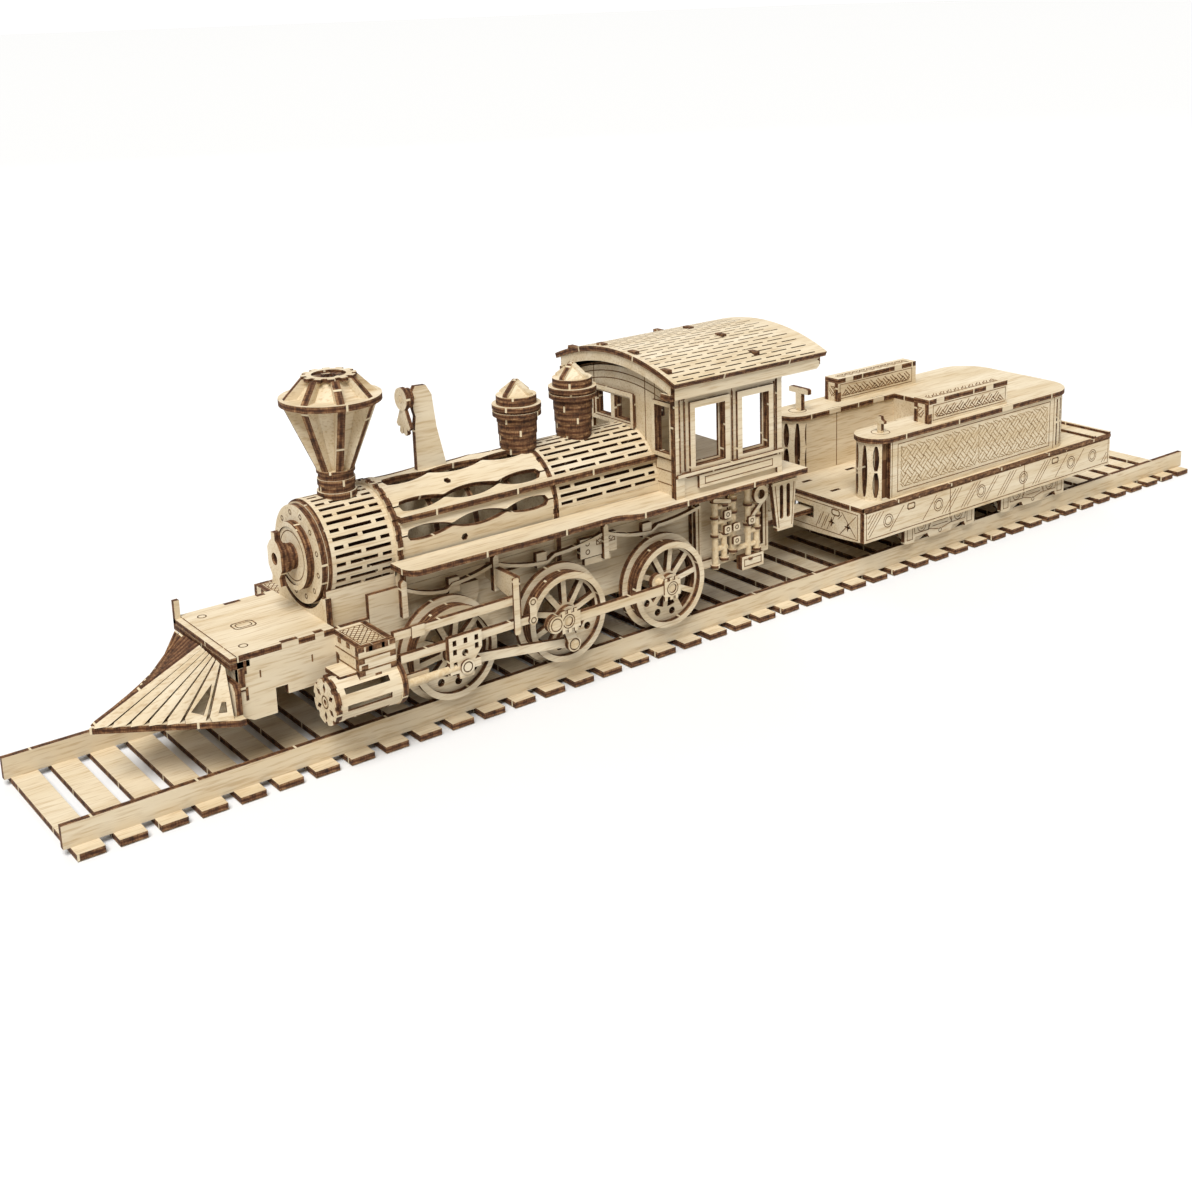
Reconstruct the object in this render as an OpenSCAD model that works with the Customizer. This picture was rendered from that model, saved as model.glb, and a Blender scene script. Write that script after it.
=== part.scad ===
// Slot-together plywood steam locomotive with its tender, standing on a straight length of track.
// Millimetres. X runs along the track from the pilot (negative) to the tender (positive),
// Y across it, Z up. The origin is the middle of the track's footprint, on the surface it stands on.

/* [Sheet] */
// Thickness of the plywood sheet that every flat piece is cut from
ply = 2; // [1.9:0.05:2]
// Running clearance round pins and axles, on the radius
run = 0.06; // [0.04:0.01:0.09]

/* [Track] */
// Number of sleepers
sleeper_count = 44; // [44:1:46]
// Distance from one sleeper to the next
sleeper_pitch = 12; // [11.8:0.1:12.2]
// Width of one sleeper along the track
sleeper_w = 8; // [7:0.5:9]
// Length of one sleeper across the track
sleeper_l = 64; // [62:1:70]
// Length of each rail
rail_l = 528; // [526:1:530]
// Height of each rail above the sleepers
rail_h = 7; // [7:0.1:7]
// Half the distance between the rails' inner faces
half_gauge = 25; // [25:0.05:25.1]

/* [Driving wheels] */
// Radius of the tread
tread_r = 15.45; // [15.3:0.05:15.5]
// Radius of the flange ring
flange_r = 17.2; // [16.6:0.1:17.4]
// Distance between driving axles
wheelbase = 44; // [43:0.5:44]
// Number of spokes
spokes = 12; // [8:1:14]
// Radius of every axle
axle_r = 2; // [1.8:0.1:2]

/* [Boiler] */
// Outer radius of the boiler
boiler_r = 17; // [16.8:0.1:17]
// Outer radius of the barrel behind the smokebox
barrel_r = 18.2; // [18:0.1:18.2]
// Height of the boiler's centreline
boiler_z = 58.4; // [58:0.1:59]
// Number of staves in the open middle section
staves = 10; // [8:1:12]

/* [Chimney] */
// Radius of the chimney's widest disc
chimney_rim_r = 16; // [14:0.5:17]
// Number of upright fins in each cone
chimney_fins = 8; // [6:1:10]

/* [Pilot] */
// Number of slats in the pilot
pilot_count = 11; // [9:2:13]

/* [Cab] */
// Half the outer width of the cab
cab_half_w = 30; // [29:0.5:30]
// Height of the roof's crown
roof_top = 104; // [103:0.5:106]

/* [Tender] */
// Length of the tender's deck
tender_l = 155; // [154:1:156]
// Half the width of the tender's deck
tender_half_w = 33; // [32.5:0.5:33.5]
// Height of the tender's deck
tender_deck_z = 31.4; // [31:0.1:32]
// Height of the tank above the deck
tank_h = 23; // [20:0.5:24]
// Radius of the tender wheels' tread
tender_tread_r = 6.95; // [6.8:0.05:7]

/* [Hidden] */
$fn = 64;
tiny = 0.01;
glue = 0.3;
slab = 200;

// Track
rail_z = ply;
rail_top = rail_z + rail_h;
first_sleeper_x = -(sleeper_count - 1) * sleeper_pitch / 2 - sleeper_w / 2;

// Driving wheels: the layers are distances from the centreline, the near side is -Y
axle_z = rail_top + tread_r + 0.05;
mid_x = -94;
axle_xs = [mid_x - wheelbase, mid_x, mid_x + wheelbase];
flange_y = 22.6;
tread_y = flange_y + ply;
spoke_y = 26;
face_y = spoke_y + ply;
wheel_out = face_y + ply;
tread_in_r = tread_r - 2.8;
face_in_r = tread_r - 2.2;
flange_in_r = flange_r - 3.8;
hub_r = 4;
spoke_w = 1.8;

// Rods: the main rod's pin, and the side rod's pin on a return crank outside it
pin_r = 1.5;
main_pin = [-1.4, -7.6];
side_pin = [-5.4, 2.4];
main_rod_y = 30.8;
rod_t = 1.8;
crank_y = main_rod_y + rod_t + 0.2;
side_rod_y = crank_y + ply + 0.2;
pin_end = side_rod_y + ply + 0.2;
rod_h = 3.2;
rod_end_r = 3.2;
side_rod_overhang = 5;
crosshead_x = -138.9;
crosshead_z = 22.8;
crosshead_y = 35.2;
crosshead_w = 12;
crosshead_h = 15;
piston_r = 1.2;
piston_y = 36.4;

// Locomotive frame
frame_y = 15.6;
frame_front = -161;
frame_rear = 6;
frame_z = [18, 46];
board_z = 53;
board_in = barrel_r + 0.5;
board_out = 30;
board_front = -153;
board_step = -72;
cab_x = [-45, 2];
floor_x = [-45, 12.5];
floor_half_w = 34;
floor_top = board_z + ply;
firebox_x = [-31, 5];
firebox_z = 22;

// Front end
pilot_tip_x = -245;
pilot_rear_x = -209;
pilot_z = 20;
pilot_half_w = 24.5;
deck_x = [-207, -177];
deck_top = 40.4;
deck_half_w = 21;
deck_under = 19;
chest_x = [-177, -162.4];
chest_y = [frame_y, 35.5];
chest_z = [26.6, 38.2];
cylinder_x = [-185, -160.5];
cylinder_r = 7.2;
cylinder_y = 31.5;
cylinder_z = 22.8;
bar_x = [cylinder_x[1], -110];
upper_bar_x = chest_x[1];
bar_y = 33;
bar_z = [29, 37];
bar_h = 2.5;
yoke_x = -118;
yoke_z = [38.2, 46];

// Boiler sections along X
smoke_x = [-172, -150];
ring_t = ply;
lattice_x = [smoke_x[1] + ring_t, -90];
wrap_x = [lattice_x[1] + ring_t, cab_x[0]];
boiler_in = boiler_r - ply;
barrel_in = barrel_r - ply;
ring_r = barrel_r + 0.4;
chimney_x = -160;
dome_xs = [-91, -67.5];
bell_x = -128;
bell_pivot = [bell_x - 6, 101];

// Cab
roof_x = [-50, 22];
eave_half_w = 33.4;
eave_z = 97.3;
roof_r = (pow(eave_half_w, 2) + pow(roof_top - eave_z, 2)) / (2 * (roof_top - eave_z));
roof_c = roof_top - roof_r;
window_z = [65, 86.5];
window_xs = [[-38.8, -25], [-16.5, -3.5]];
belt_z = 63;

// Tender
tender_x = [43.5, 43.5 + tender_l];
valance_z = 17.6;
tank_top_z = tender_deck_z + tank_h;
tank_half_w = 30.6;
arm_in = 15.2;
arm_r = (tank_half_w - arm_in) / 2;
arm_x = [60.5, 112];
tank_rear_x = 176;
tank_corner_r = 14;
top_lip = 0.6;
toolbox_x = [84.5, 132.5];
toolbox_y = [20.8, 28.4];
toolbox_h = 9.8;
handle_at = [64.5, 22.9];
valve_at = [63, -22.9];
truck_xs = [91, 150];
truck_axle_dx = 11;
truck_axle_z = rail_top + tender_tread_r + 0.05;
truck_axle_r = 1.5;
truck_frame_y = 28;
truck_frame_t = 1.8;
truck_half_l = 21;
bolster_z = 25;
drawbar_z = 23;
drawbar_pin_x = 50;
drawbar_slot = [6, 2.4];

// ---------- sheets in each plane ----------

// A sheet standing along the track: the outline's X, Y become X, Z, and it runs from y to y + t
module sheet_xz(y, t = ply) {
    translate([0, y + t, 0]) rotate([90, 0, 0]) linear_extrude(t) children();
}

// A sheet standing across the track: the outline's X, Y become Y, Z, and it runs from x to x + t
module sheet_yz(x, t = ply) {
    translate([x, 0, 0]) rotate([90, 0, 90]) linear_extrude(t) children();
}

// A lying sheet, from z to z + t
module sheet_xy(z, t = ply) {
    translate([0, 0, z]) linear_extrude(t) children();
}

// A box between two corners
module block(low, high) {
    translate(low) cube(high - low);
}

// A cylinder along Y from y0 to y1 at x, z
module pin_y(x, z, r, y0, y1) {
    translate([x, y0, z]) rotate([-90, 0, 0]) cylinder(r = r, h = y1 - y0);
}

// A cylinder along X from x0 to x1 on the line y, z
module pin_x(y, z, r, x0, x1) {
    translate([x0, y, z]) rotate([0, 90, 0]) cylinder(r = r, h = x1 - x0);
}

// An upright cylinder from z0 to z1
module pin_z(x, y, r, z0, z1) {
    translate([x, y, z0]) cylinder(r = r, h = z1 - z0);
}

// The far side's copy of what is drawn for +Y, and the near side's
module both_sides() {
    children();
    mirror([0, 1, 0]) children();
}

// A straight bar between two points of a plane, with half-round ends
module bar_2d(a, b, width, end_r) {
    along = b - a;
    translate(a) rotate(atan2(along[1], along[0])) translate([0, -width / 2]) square([norm(along), width]);
    translate(a) circle(end_r);
    translate(b) circle(end_r);
}

// ---------- track ----------

module sleepers() {
    color("burlywood") for (i = [0 : sleeper_count - 1])
        translate([first_sleeper_x + i * sleeper_pitch, -sleeper_l / 2, 0]) cube([sleeper_w, sleeper_l, ply]);
}

module rail(side) {
    y = side > 0 ? half_gauge : -half_gauge - ply;
    color("wheat") translate([-rail_l / 2, y, rail_z]) cube([rail_l, ply, rail_h]);
}

module rail_near() rail(-1);
module rail_far() rail(1);

// ---------- wheels and rods ----------

module ring_y(x, z, r_out, r_in, y0, y1) {
    difference() {
        pin_y(x, z, r_out, y0, y1);
        pin_y(x, z, r_in, y0 - 1, y1 + 1);
    }
}

// One driving wheel on the +Y side: flange, tread, spokes and face ring, bored for its axle
module driving_wheel(x) {
    difference() {
        union() {
            ring_y(x, axle_z, flange_r, flange_in_r, flange_y, tread_y);
            ring_y(x, axle_z, tread_r, tread_in_r, tread_y - glue, face_y);
            ring_y(x, axle_z, tread_r, face_in_r, face_y - glue, wheel_out);
            pin_y(x, axle_z, hub_r, spoke_y - glue, face_y + glue);
            for (i = [0 : spokes - 1])
                translate([x, spoke_y, axle_z]) rotate([0, i * 360 / spokes, 0])
                    translate([hub_r - 1, 0, -spoke_w / 2]) cube([tread_in_r - hub_r + 1.4, ply - glue, spoke_w]);
        }
        pin_y(x, axle_z, axle_r, flange_y - 1, wheel_out + 1);
    }
}

// A boss that joins a crank pin to the hub, in the spokes' layer and as far out as the wheel's face
module crank_boss(x, pin) {
    difference() {
        sheet_xz(spoke_y, wheel_out - spoke_y) translate([x, axle_z]) bar_2d([0, 0], pin, 3, 2.8);
        pin_y(x, axle_z, axle_r, spoke_y - 1, wheel_out + 1);
    }
}

// The axle ends inside the wheels' outer layer
module driving_axle(x) {
    color("peru") pin_y(x, axle_z, axle_r, -wheel_out, wheel_out);
}

module front_wheels() {
    color("wheat") both_sides() driving_wheel(axle_xs[0]);
}

module mid_wheels() {
    x = axle_xs[1];
    color("wheat") both_sides() {
        driving_wheel(x);
        crank_boss(x, main_pin);
        pin_y(x + main_pin[0], axle_z + main_pin[1], pin_r, spoke_y, crank_y + ply);
        sheet_xz(crank_y, ply) translate([x, axle_z]) bar_2d(main_pin, side_pin, 4, 2.6);
        pin_y(x + side_pin[0], axle_z + side_pin[1], pin_r, crank_y, pin_end);
    }
}

module rear_wheels() {
    x = axle_xs[2];
    color("wheat") both_sides() {
        driving_wheel(x);
        crank_boss(x, side_pin);
        pin_y(x + side_pin[0], axle_z + side_pin[1], pin_r, spoke_y, pin_end);
    }
}

module front_axle() driving_axle(axle_xs[0]);
module mid_axle() driving_axle(axle_xs[1]);
module rear_axle() driving_axle(axle_xs[2]);

// Side rod between the mid and rear crank pins
module side_rod() {
    a = [axle_xs[1] + side_pin[0], axle_z + side_pin[1]];
    b = [axle_xs[2] + side_pin[0], axle_z + side_pin[1]];
    color("wheat") difference() {
        sheet_xz(side_rod_y) bar_2d(a - [side_rod_overhang, 0], b, rod_h, rod_end_r);
        for (p = [a, b]) pin_y(p[0], p[1], pin_r + run, side_rod_y - 1, side_rod_y + ply + 1);
    }
}

module side_rod_far() side_rod();
module side_rod_near() mirror([0, 1, 0]) side_rod();

// Main rod from the mid wheel's crank pin to behind the crosshead
module main_rod() {
    a = [axle_xs[1] + main_pin[0], axle_z + main_pin[1]];
    color("wheat") difference() {
        sheet_xz(main_rod_y, rod_t) bar_2d([crosshead_x, crosshead_z], a, rod_h, 2.6);
        pin_y(a[0], a[1], pin_r + run, main_rod_y - 1, main_rod_y + rod_t + 1);
    }
}

module main_rod_far() main_rod();
module main_rod_near() mirror([0, 1, 0]) main_rod();

// Crosshead plate in front of the slide bars, with the piston rod that runs into the cylinder
module crosshead() {
    color("wheat") {
        block([crosshead_x - crosshead_w / 2, crosshead_y, crosshead_z - 4],
            [crosshead_x + crosshead_w / 2, crosshead_y + ply + 0.4, crosshead_z - 4 + crosshead_h]);
        pin_x(piston_y, crosshead_z, piston_r, cylinder_x[0] + 9, crosshead_x);
    }
}

module crosshead_far() crosshead();
module crosshead_near() mirror([0, 1, 0]) crosshead();

// ---------- locomotive: front end ----------

module pilot_base() {
    color("wheat") sheet_xy(pilot_z)
        polygon([[pilot_tip_x, 0], [pilot_rear_x, -pilot_half_w], [pilot_rear_x + 2, -pilot_half_w],
            [pilot_rear_x + 2, pilot_half_w], [pilot_rear_x, pilot_half_w]]);
}

// Slats that fan from the pointed base plate up to the front of the deck
module pilot_slats() {
    top_z = deck_top - 4;
    half = (pilot_count - 1) / 2;
    color("burlywood") for (i = [-half : half]) {
        side = sign(i);
        u = abs(i) / half;
        foot_x = pilot_tip_x + 2.5 + u * (pilot_rear_x - pilot_tip_x - 6);
        foot_y = i == 0 ? 0 : side * u * (pilot_half_w - 3);
        head_y = i * 3.6;
        along = [pilot_rear_x - foot_x, head_y - foot_y, top_z - pilot_z - ply];
        len = norm(along);
        yaw = atan2(along[1], along[0]);
        pitch = asin(along[2] / len);
        intersection() {
            translate([foot_x, foot_y, pilot_z + ply]) rotate([0, -pitch, yaw])
                translate([-4, -1.2, 0]) cube([len + 8, 2.4, 1.6]);
            block([pilot_tip_x, -slab, pilot_z + ply], [pilot_rear_x, slab, deck_top]);
        }
    }
}

module front_deck() {
    color("wheat") {
        block([deck_x[0], -deck_half_w, deck_top - ply], [deck_x[1] + ply, deck_half_w, deck_top]);
        block([pilot_rear_x, -deck_half_w, deck_top - 5], [deck_x[0], deck_half_w, deck_top]);
    }
}

// The plates under the front deck, notched below for the track
module front_frame() {
    color("wheat") {
        both_sides() sheet_xz(deck_half_w - ply) polygon([
            [deck_x[0], deck_under + 4], [deck_x[0] + 4, deck_under], [deck_x[0] + 12, deck_under],
            [deck_x[0] + 12, deck_under + 5], [deck_x[1], deck_under + 5], [deck_x[1], deck_top - ply],
            [deck_x[0], deck_top - ply]]);
        block([deck_x[0], -deck_half_w + ply, pilot_z],
            [deck_x[0] + ply, deck_half_w - ply, deck_top - ply]);
    }
}

module saddle() {
    color("wheat") difference() {
        block([deck_x[1] + ply, -frame_y, deck_under + 5], [smoke_x[1] + ring_t, frame_y, boiler_z - 6]);
        block([deck_x[1] + 2 * ply, -frame_y + ply, deck_under],
            [smoke_x[1], frame_y - ply, boiler_z]);
        pin_x(0, boiler_z, boiler_r, smoke_x[0] - 20, smoke_x[1]);
        pin_x(0, boiler_z, ring_r, smoke_x[1], smoke_x[1] + 4);
    }
}

module steam_chests() {
    color("wheat") both_sides()
        difference() {
            block([chest_x[0] + ply, chest_y[0], chest_z[0]], [chest_x[1], chest_y[1], chest_z[1]]);
            pin_x(cylinder_y, cylinder_z, cylinder_r, cylinder_x[0], cylinder_x[1]);
        }
}

module cylinders() {
    color("burlywood") both_sides() difference() {
        union() {
            pin_x(cylinder_y, cylinder_z, cylinder_r, cylinder_x[0], cylinder_x[1]);
            block([chest_x[0] + ply, frame_y, cylinder_z - 4], [chest_x[1], cylinder_y, chest_z[0]]);
        }
        pin_x(piston_y, crosshead_z, piston_r + run, cylinder_x[0] + ply / 2, cylinder_x[1] + 1);
    }
}

// Slide bars, the yoke plate between the wheels that carries them, and the small link
module motion_brackets() {
    color("wheat") both_sides() {
        block([bar_x[0], bar_y, bar_z[0]], [bar_x[1], bar_y + ply, bar_z[0] + bar_h]);
        block([upper_bar_x, bar_y, bar_z[1]], [yoke_x, bar_y + ply, bar_z[1] + bar_h]);
        sheet_yz(yoke_x) polygon([
            [frame_y + ply, yoke_z[1]], [frame_y + ply, yoke_z[0] + 3], [main_rod_y, yoke_z[0]],
            [bar_y, yoke_z[0]], [bar_y, bar_z[0] + bar_h], [bar_y + ply, bar_z[0] + bar_h],
            [bar_y + ply, yoke_z[1]]]);
        sheet_xz(bar_y) bar_2d([bar_x[1] - 1.5, bar_z[0] + 7], [bar_x[1] - 1.5, bar_z[0]], 3, 1.5);
    }
}

module side_frames() {
    color("wheat") both_sides() difference() {
        block([frame_front, frame_y, frame_z[0]], [frame_rear, frame_y + ply, frame_z[1]]);
        for (x = axle_xs) pin_y(x, axle_z, axle_r + run, frame_y - 1, frame_y + ply + 1);
    }
}

// ---------- locomotive: boiler ----------

module tube_x(r_out, r_in, x0, x1) {
    difference() {
        pin_x(0, boiler_z, r_out, x0, x1);
        pin_x(0, boiler_z, r_in, x0 - 1, x1 + 1);
    }
}

module smokebox_front() {
    x = smoke_x[0];
    color("wheat") {
        pin_x(0, boiler_z, boiler_in, x, x + ply);
        pin_x(0, boiler_z, 15.8, x - 3, x);
        pin_x(0, boiler_z, 11.5, x - 5, x - 3 + tiny);
        pin_x(0, boiler_z, 4, x - 9, x - 5 + tiny);
        block([x - 11, -4, boiler_z - 7], [x - 9 + tiny, 4, boiler_z + 9]);
    }
}

module smokebox_wrap() {
    color("burlywood") tube_x(boiler_r, boiler_in, smoke_x[0], smoke_x[1]);
}

module boiler_rings() {
    color("wheat") for (x = [smoke_x[1], lattice_x[1]]) {
        tube_x(x < lattice_x[1] ? ring_r : barrel_r, 11, x, x + ring_t);
        both_sides() {
            block([x, frame_y, frame_z[1]], [x + ring_t, frame_y + ply, boiler_z - 8]);
            block([x, frame_y + ply, frame_z[1] - 3], [x + ring_t, frame_y + 5 * ply, board_z]);
        }
    }
}

// Staves with gaps between them, on two hidden formers
module boiler_lattice() {
    color("wheat") {
        for (i = [0 : staves - 1]) {
            a = (i + 0.5) * 360 / staves;
            translate([lattice_x[0], 0, boiler_z]) rotate([a, 0, 0])
                translate([0, -barrel_r * sin(180 / staves) * 0.8, barrel_r * cos(180 / staves) - 1.6])
                cube([lattice_x[1] - lattice_x[0], barrel_r * sin(180 / staves) * 1.6, ply]);
        }
        for (x = [lattice_x[0] + 12, lattice_x[1] - 14])
            pin_x(0, boiler_z, barrel_r * cos(180 / staves) - 1.5, x, x + ply);
    }
}

module boiler_wrap() {
    color("burlywood") tube_x(barrel_r, barrel_in, wrap_x[0], wrap_x[1]);
}

// A ring of upright fins between two heights, whose outer edge goes from one radius to another
module fins(x, z0, z1, r0, r1) {
    translate([x, 0, 0]) for (i = [0 : chimney_fins - 1])
        rotate([0, 0, i * 360 / chimney_fins + 30]) translate([0, ply / 2, 0]) rotate([90, 0, 0])
            linear_extrude(ply) polygon([[0, z0], [r0, z0], [r1, z1], [0, z1]]);
}

// The boiler's top, cut out of whatever stands on it
module above_boiler() {
    difference() {
        children();
        pin_x(0, boiler_z, boiler_r, smoke_x[0], smoke_x[1] + tiny);
        pin_x(0, boiler_z, barrel_r, smoke_x[1], wrap_x[1] + slab);
    }
}

module chimney() {
    rim_z = 105;
    color("peru") above_boiler() {
        pin_z(chimney_x, 0, 5.2, boiler_z + boiler_r - 1, 83);
        pin_z(chimney_x, 0, 6.2, 76.4, 78.2);
        fins(chimney_x, 83 - tiny, rim_z, 5.2, 14);
        pin_z(chimney_x, 0, chimney_rim_r, rim_z, rim_z + ply);
        fins(chimney_x, rim_z + ply, 113.2, 14.2, 9);
        pin_z(chimney_x, 0, 6, 112.2, 113.8);
    }
}

// A stack of discs with two wide rings and crossed cap plates
module dome(x, base_r, ring_z) {
    top_z = ring_z + 9;
    color("peru") above_boiler() {
        pin_z(x, 0, base_r, boiler_z + barrel_r - 1.2, ring_z + 3);
        pin_z(x, 0, base_r + 1.8, ring_z - 1.6, ring_z + 1.6);
        for (a = [0, 90]) translate([x, 0, 0]) rotate([0, 0, a])
            sheet_xz(-ply / 2) polygon([[-base_r + 1, ring_z + 3 - glue], [base_r - 1, ring_z + 3 - glue],
                [1.5, top_z], [-1.5, top_z]]);
    }
}

module front_dome() dome(dome_xs[0], 6.6, 91);
module rear_dome() dome(dome_xs[1], 6.6, 92);

// Leaning plate with the bell's pivot pin
module bell_bracket() {
    color("wheat") above_boiler() {
        sheet_xz(-ply / 2) polygon([[bell_x - 3, boiler_z + barrel_r - 1], [bell_x + 6, boiler_z + barrel_r - 1],
            [bell_x + 2.5, 102], [bell_x, 104.5], [bell_x - 3.2, 104], [bell_x - 2.8, 92]]);
        pin_x(0, bell_pivot[1], 1.2, bell_pivot[0] - 1.5, bell_x - 2.5);
    }
}

// Bell: a pierced disc on the pivot with splayed slats hanging below it
module bell() {
    z = bell_pivot[1];
    x = bell_pivot[0];
    color("burlywood") difference() {
        union() {
            pin_x(0, z, 3.4, x - 1.4, x + 2);
            for (a = [-24, -8, 8, 24])
                translate([x - 0.4, 0, z]) rotate([a, 0, 0]) translate([0, -0.7, -12]) cube([1.4, 1.4, 10]);
        }
        pin_x(0, z, 1.2 + run, x - 5, x + 5);
    }
}

// ---------- locomotive: boards, firebox and cab ----------

module running_boards() {
    r = 6;
    color("wheat") both_sides() sheet_xy(board_z) difference() {
        union() {
            translate([board_front, board_in]) square([board_step - board_front, board_out - board_in]);
            hull() {
                translate([board_step, board_in]) square([cab_x[0] - board_step, board_out - board_in]);
                translate([board_step + 7, board_in]) square([cab_x[0] - board_step - 7, floor_half_w - board_in]);
            }
        }
        translate([board_front, board_out - r]) difference() {
            square([r, r + 1]);
            translate([r, 0]) circle(r);
        }
        translate([smoke_x[1], 0]) square([ring_t, ring_r]);
    }
}

module firebox() {
    color("wheat") {
        for (x = [firebox_x[0], firebox_x[1] - ply])
            block([x, -frame_y, firebox_z], [x + ply, frame_y, board_z]);
        both_sides() block([firebox_x[0] + 1, frame_y + ply, firebox_z], [firebox_x[1], frame_y + 3 * ply, board_z]);
    }
}

module cab_floor() {
    color("wheat") block([floor_x[0], -floor_half_w, board_z], [floor_x[1], floor_half_w, floor_top]);
}

// What is under the roof, for trimming the walls to its curve
module under_roof() {
    intersection() {
        children();
        pin_x(0, roof_c, roof_r - ply, -slab, slab);
    }
}

module cab_front() {
    color("wheat") difference() {
        under_roof() block([cab_x[0], -cab_half_w + ply, floor_top], [cab_x[0] + ply, cab_half_w - ply, roof_top]);
        both_sides() block([cab_x[0] - 1, 18.5, 69], [cab_x[0] + ply + 1, 26, 87]);
        for (w = [[-5.2, 4.2], [6.2, 14.8]])
            block([cab_x[0] - 1, w[0], 77.6], [cab_x[0] + ply + 1, w[1], 86]);
    }
}

module cab_side() {
    color("wheat") {
        difference() {
            under_roof() block([cab_x[0], cab_half_w - ply, floor_top], [cab_x[1], cab_half_w, roof_top]);
            for (w = window_xs) block([w[0], 0, window_z[0]], [w[1], slab, window_z[1]]);
        }
        block([cab_x[0] + 1, cab_half_w - tiny, belt_z - 1], [cab_x[1], cab_half_w + 1, belt_z + 0.6]);
    }
}

module cab_side_far() cab_side();
module cab_side_near() mirror([0, 1, 0]) cab_side();

module cab_roof() {
    color("wheat") {
        intersection() {
            difference() {
                pin_x(0, roof_c, roof_r, roof_x[0], roof_x[1]);
                pin_x(0, roof_c, roof_r - ply, roof_x[0] - 1, roof_x[1] + 1);
            }
            block([roof_x[0] - 1, -eave_half_w, eave_z - ply - 1], [roof_x[1] + 1, eave_half_w, roof_top + 1]);
        }
        difference() {
            both_sides() block([roof_x[0] + 2, eave_half_w - ply, eave_z - 6],
                [roof_x[1] - 1, eave_half_w, eave_z]);
            difference() {
                block([-slab, -slab, eave_z - 3], [slab, slab, slab]);
                pin_x(0, roof_c, roof_r - ply / 2, -slab, slab);
            }
        }
    }
}

// Step hangers below the rear of the cab floor
module cab_steps() {
    color("wheat") both_sides() sheet_xz(27) difference() {
        polygon([[-1, board_z], [11.8, board_z], [9.8, 31.6], [2, 31.6]]);
        for (x = [3.2, 6.6]) translate([x, 36]) square([1.8, 13]);
    }
}

// Pipe clusters beside the firebox
module injectors() {
    color("burlywood") both_sides() {
        for (x = [-24, -18, -9]) pin_z(x, 25, 1.2, 22, board_z);
        block([-27, 24, 33], [-6, 26, 35]);
        block([-27, 24, 41], [-6, 26, 43]);
        block([-14, 23.5, 19.6], [-3, 27, 25]);
    }
}

module drawbar() {
    color("wheat") difference() {
        block([frame_rear - 1, -4, drawbar_z], [drawbar_pin_x + 4, 4, drawbar_z + ply]);
        pin_z(drawbar_pin_x, 0, pin_r + run, drawbar_z - 1, drawbar_z + ply + 1);
    }
}

// ---------- tender ----------

module tender_deck() {
    color("wheat") block([tender_x[0], -tender_half_w, tender_deck_z - ply],
        [tender_x[1], tender_half_w, tender_deck_z]);
}

module tender_valances() {
    low = tender_deck_z - ply;
    color("wheat") {
        both_sides() block([tender_x[0], tender_half_w - ply, valance_z], [tender_x[1], tender_half_w, low]);
        for (x = [tender_x[0], tender_x[1] - ply]) difference() {
            block([x, -tender_half_w + ply + tiny, valance_z], [x + ply, tender_half_w - ply - tiny, low]);
            block([tender_x[0] - 1, -drawbar_slot[0], drawbar_z + ply / 2 - drawbar_slot[1]],
                [tender_x[0] + ply + 1, drawbar_slot[0], drawbar_z + ply / 2 + drawbar_slot[1]]);
        }
        for (x = [tender_x[1] - 12, tender_x[1] - ply])
            block([x, -tender_half_w, tender_deck_z], [x + ply, tender_half_w, tender_deck_z + 1.2]);
    }
}

// Plan of one tank arm, with a half-round nose
module arm_plan(grow = 0) {
    translate([arm_x[0], arm_in + arm_r]) circle(arm_r + grow);
    translate([arm_x[0], arm_in - grow]) square([arm_x[1] - arm_x[0], 2 * (arm_r + grow)]);
}

// Plan of the tank behind the arms, with round rear corners
module rear_plan(grow = 0) {
    w = tank_half_w + grow;
    r = tank_corner_r + grow;
    translate([arm_x[1], -w]) square([tank_rear_x - tank_corner_r - arm_x[1], 2 * w]);
    translate([arm_x[1], -w + r]) square([tank_rear_x + grow - arm_x[1], 2 * (w - r)]);
    for (s = [-1, 1]) translate([tank_rear_x - tank_corner_r, s * (w - r)]) circle(r);
}

module tank_arms() {
    color("wheat") both_sides() difference() {
        sheet_xy(tender_deck_z, tank_h) arm_plan();
        sheet_xy(tender_deck_z - 1, tank_h + 2) difference() {
            arm_plan(-ply);
            translate([arm_x[1] - ply, 0]) square(slab);
        }
    }
}

module tank_rear() {
    color("wheat") difference() {
        sheet_xy(tender_deck_z, tank_h) rear_plan();
        sheet_xy(tender_deck_z - 1, tank_h + 2) difference() {
            rear_plan(-ply);
            translate([0, -slab / 2]) square([arm_x[1] + ply, slab]);
        }
    }
}

module tank_top() {
    color("wheat") difference() {
        sheet_xy(tank_top_z) {
            both_sides() arm_plan(top_lip);
            rear_plan(top_lip);
        }
        for (p = [handle_at, valve_at]) pin_z(p[0], p[1], 1.2 + run, tank_top_z - 1, tank_top_z + ply + 1);
    }
}

module toolboxes() {
    z = tank_top_z + ply;
    color("wheat") both_sides()
        block([toolbox_x[0], toolbox_y[0], z], [toolbox_x[1], toolbox_y[1], z + toolbox_h]);
}

// Pins under the deck for the trucks and the drawbar
module tender_pins() {
    color("peru") {
        for (x = truck_xs) pin_z(x, 0, axle_r, bolster_z - 2, tender_deck_z - ply);
        pin_z(drawbar_pin_x, 0, pin_r, drawbar_z - 2, tender_deck_z - ply);
    }
}

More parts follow.
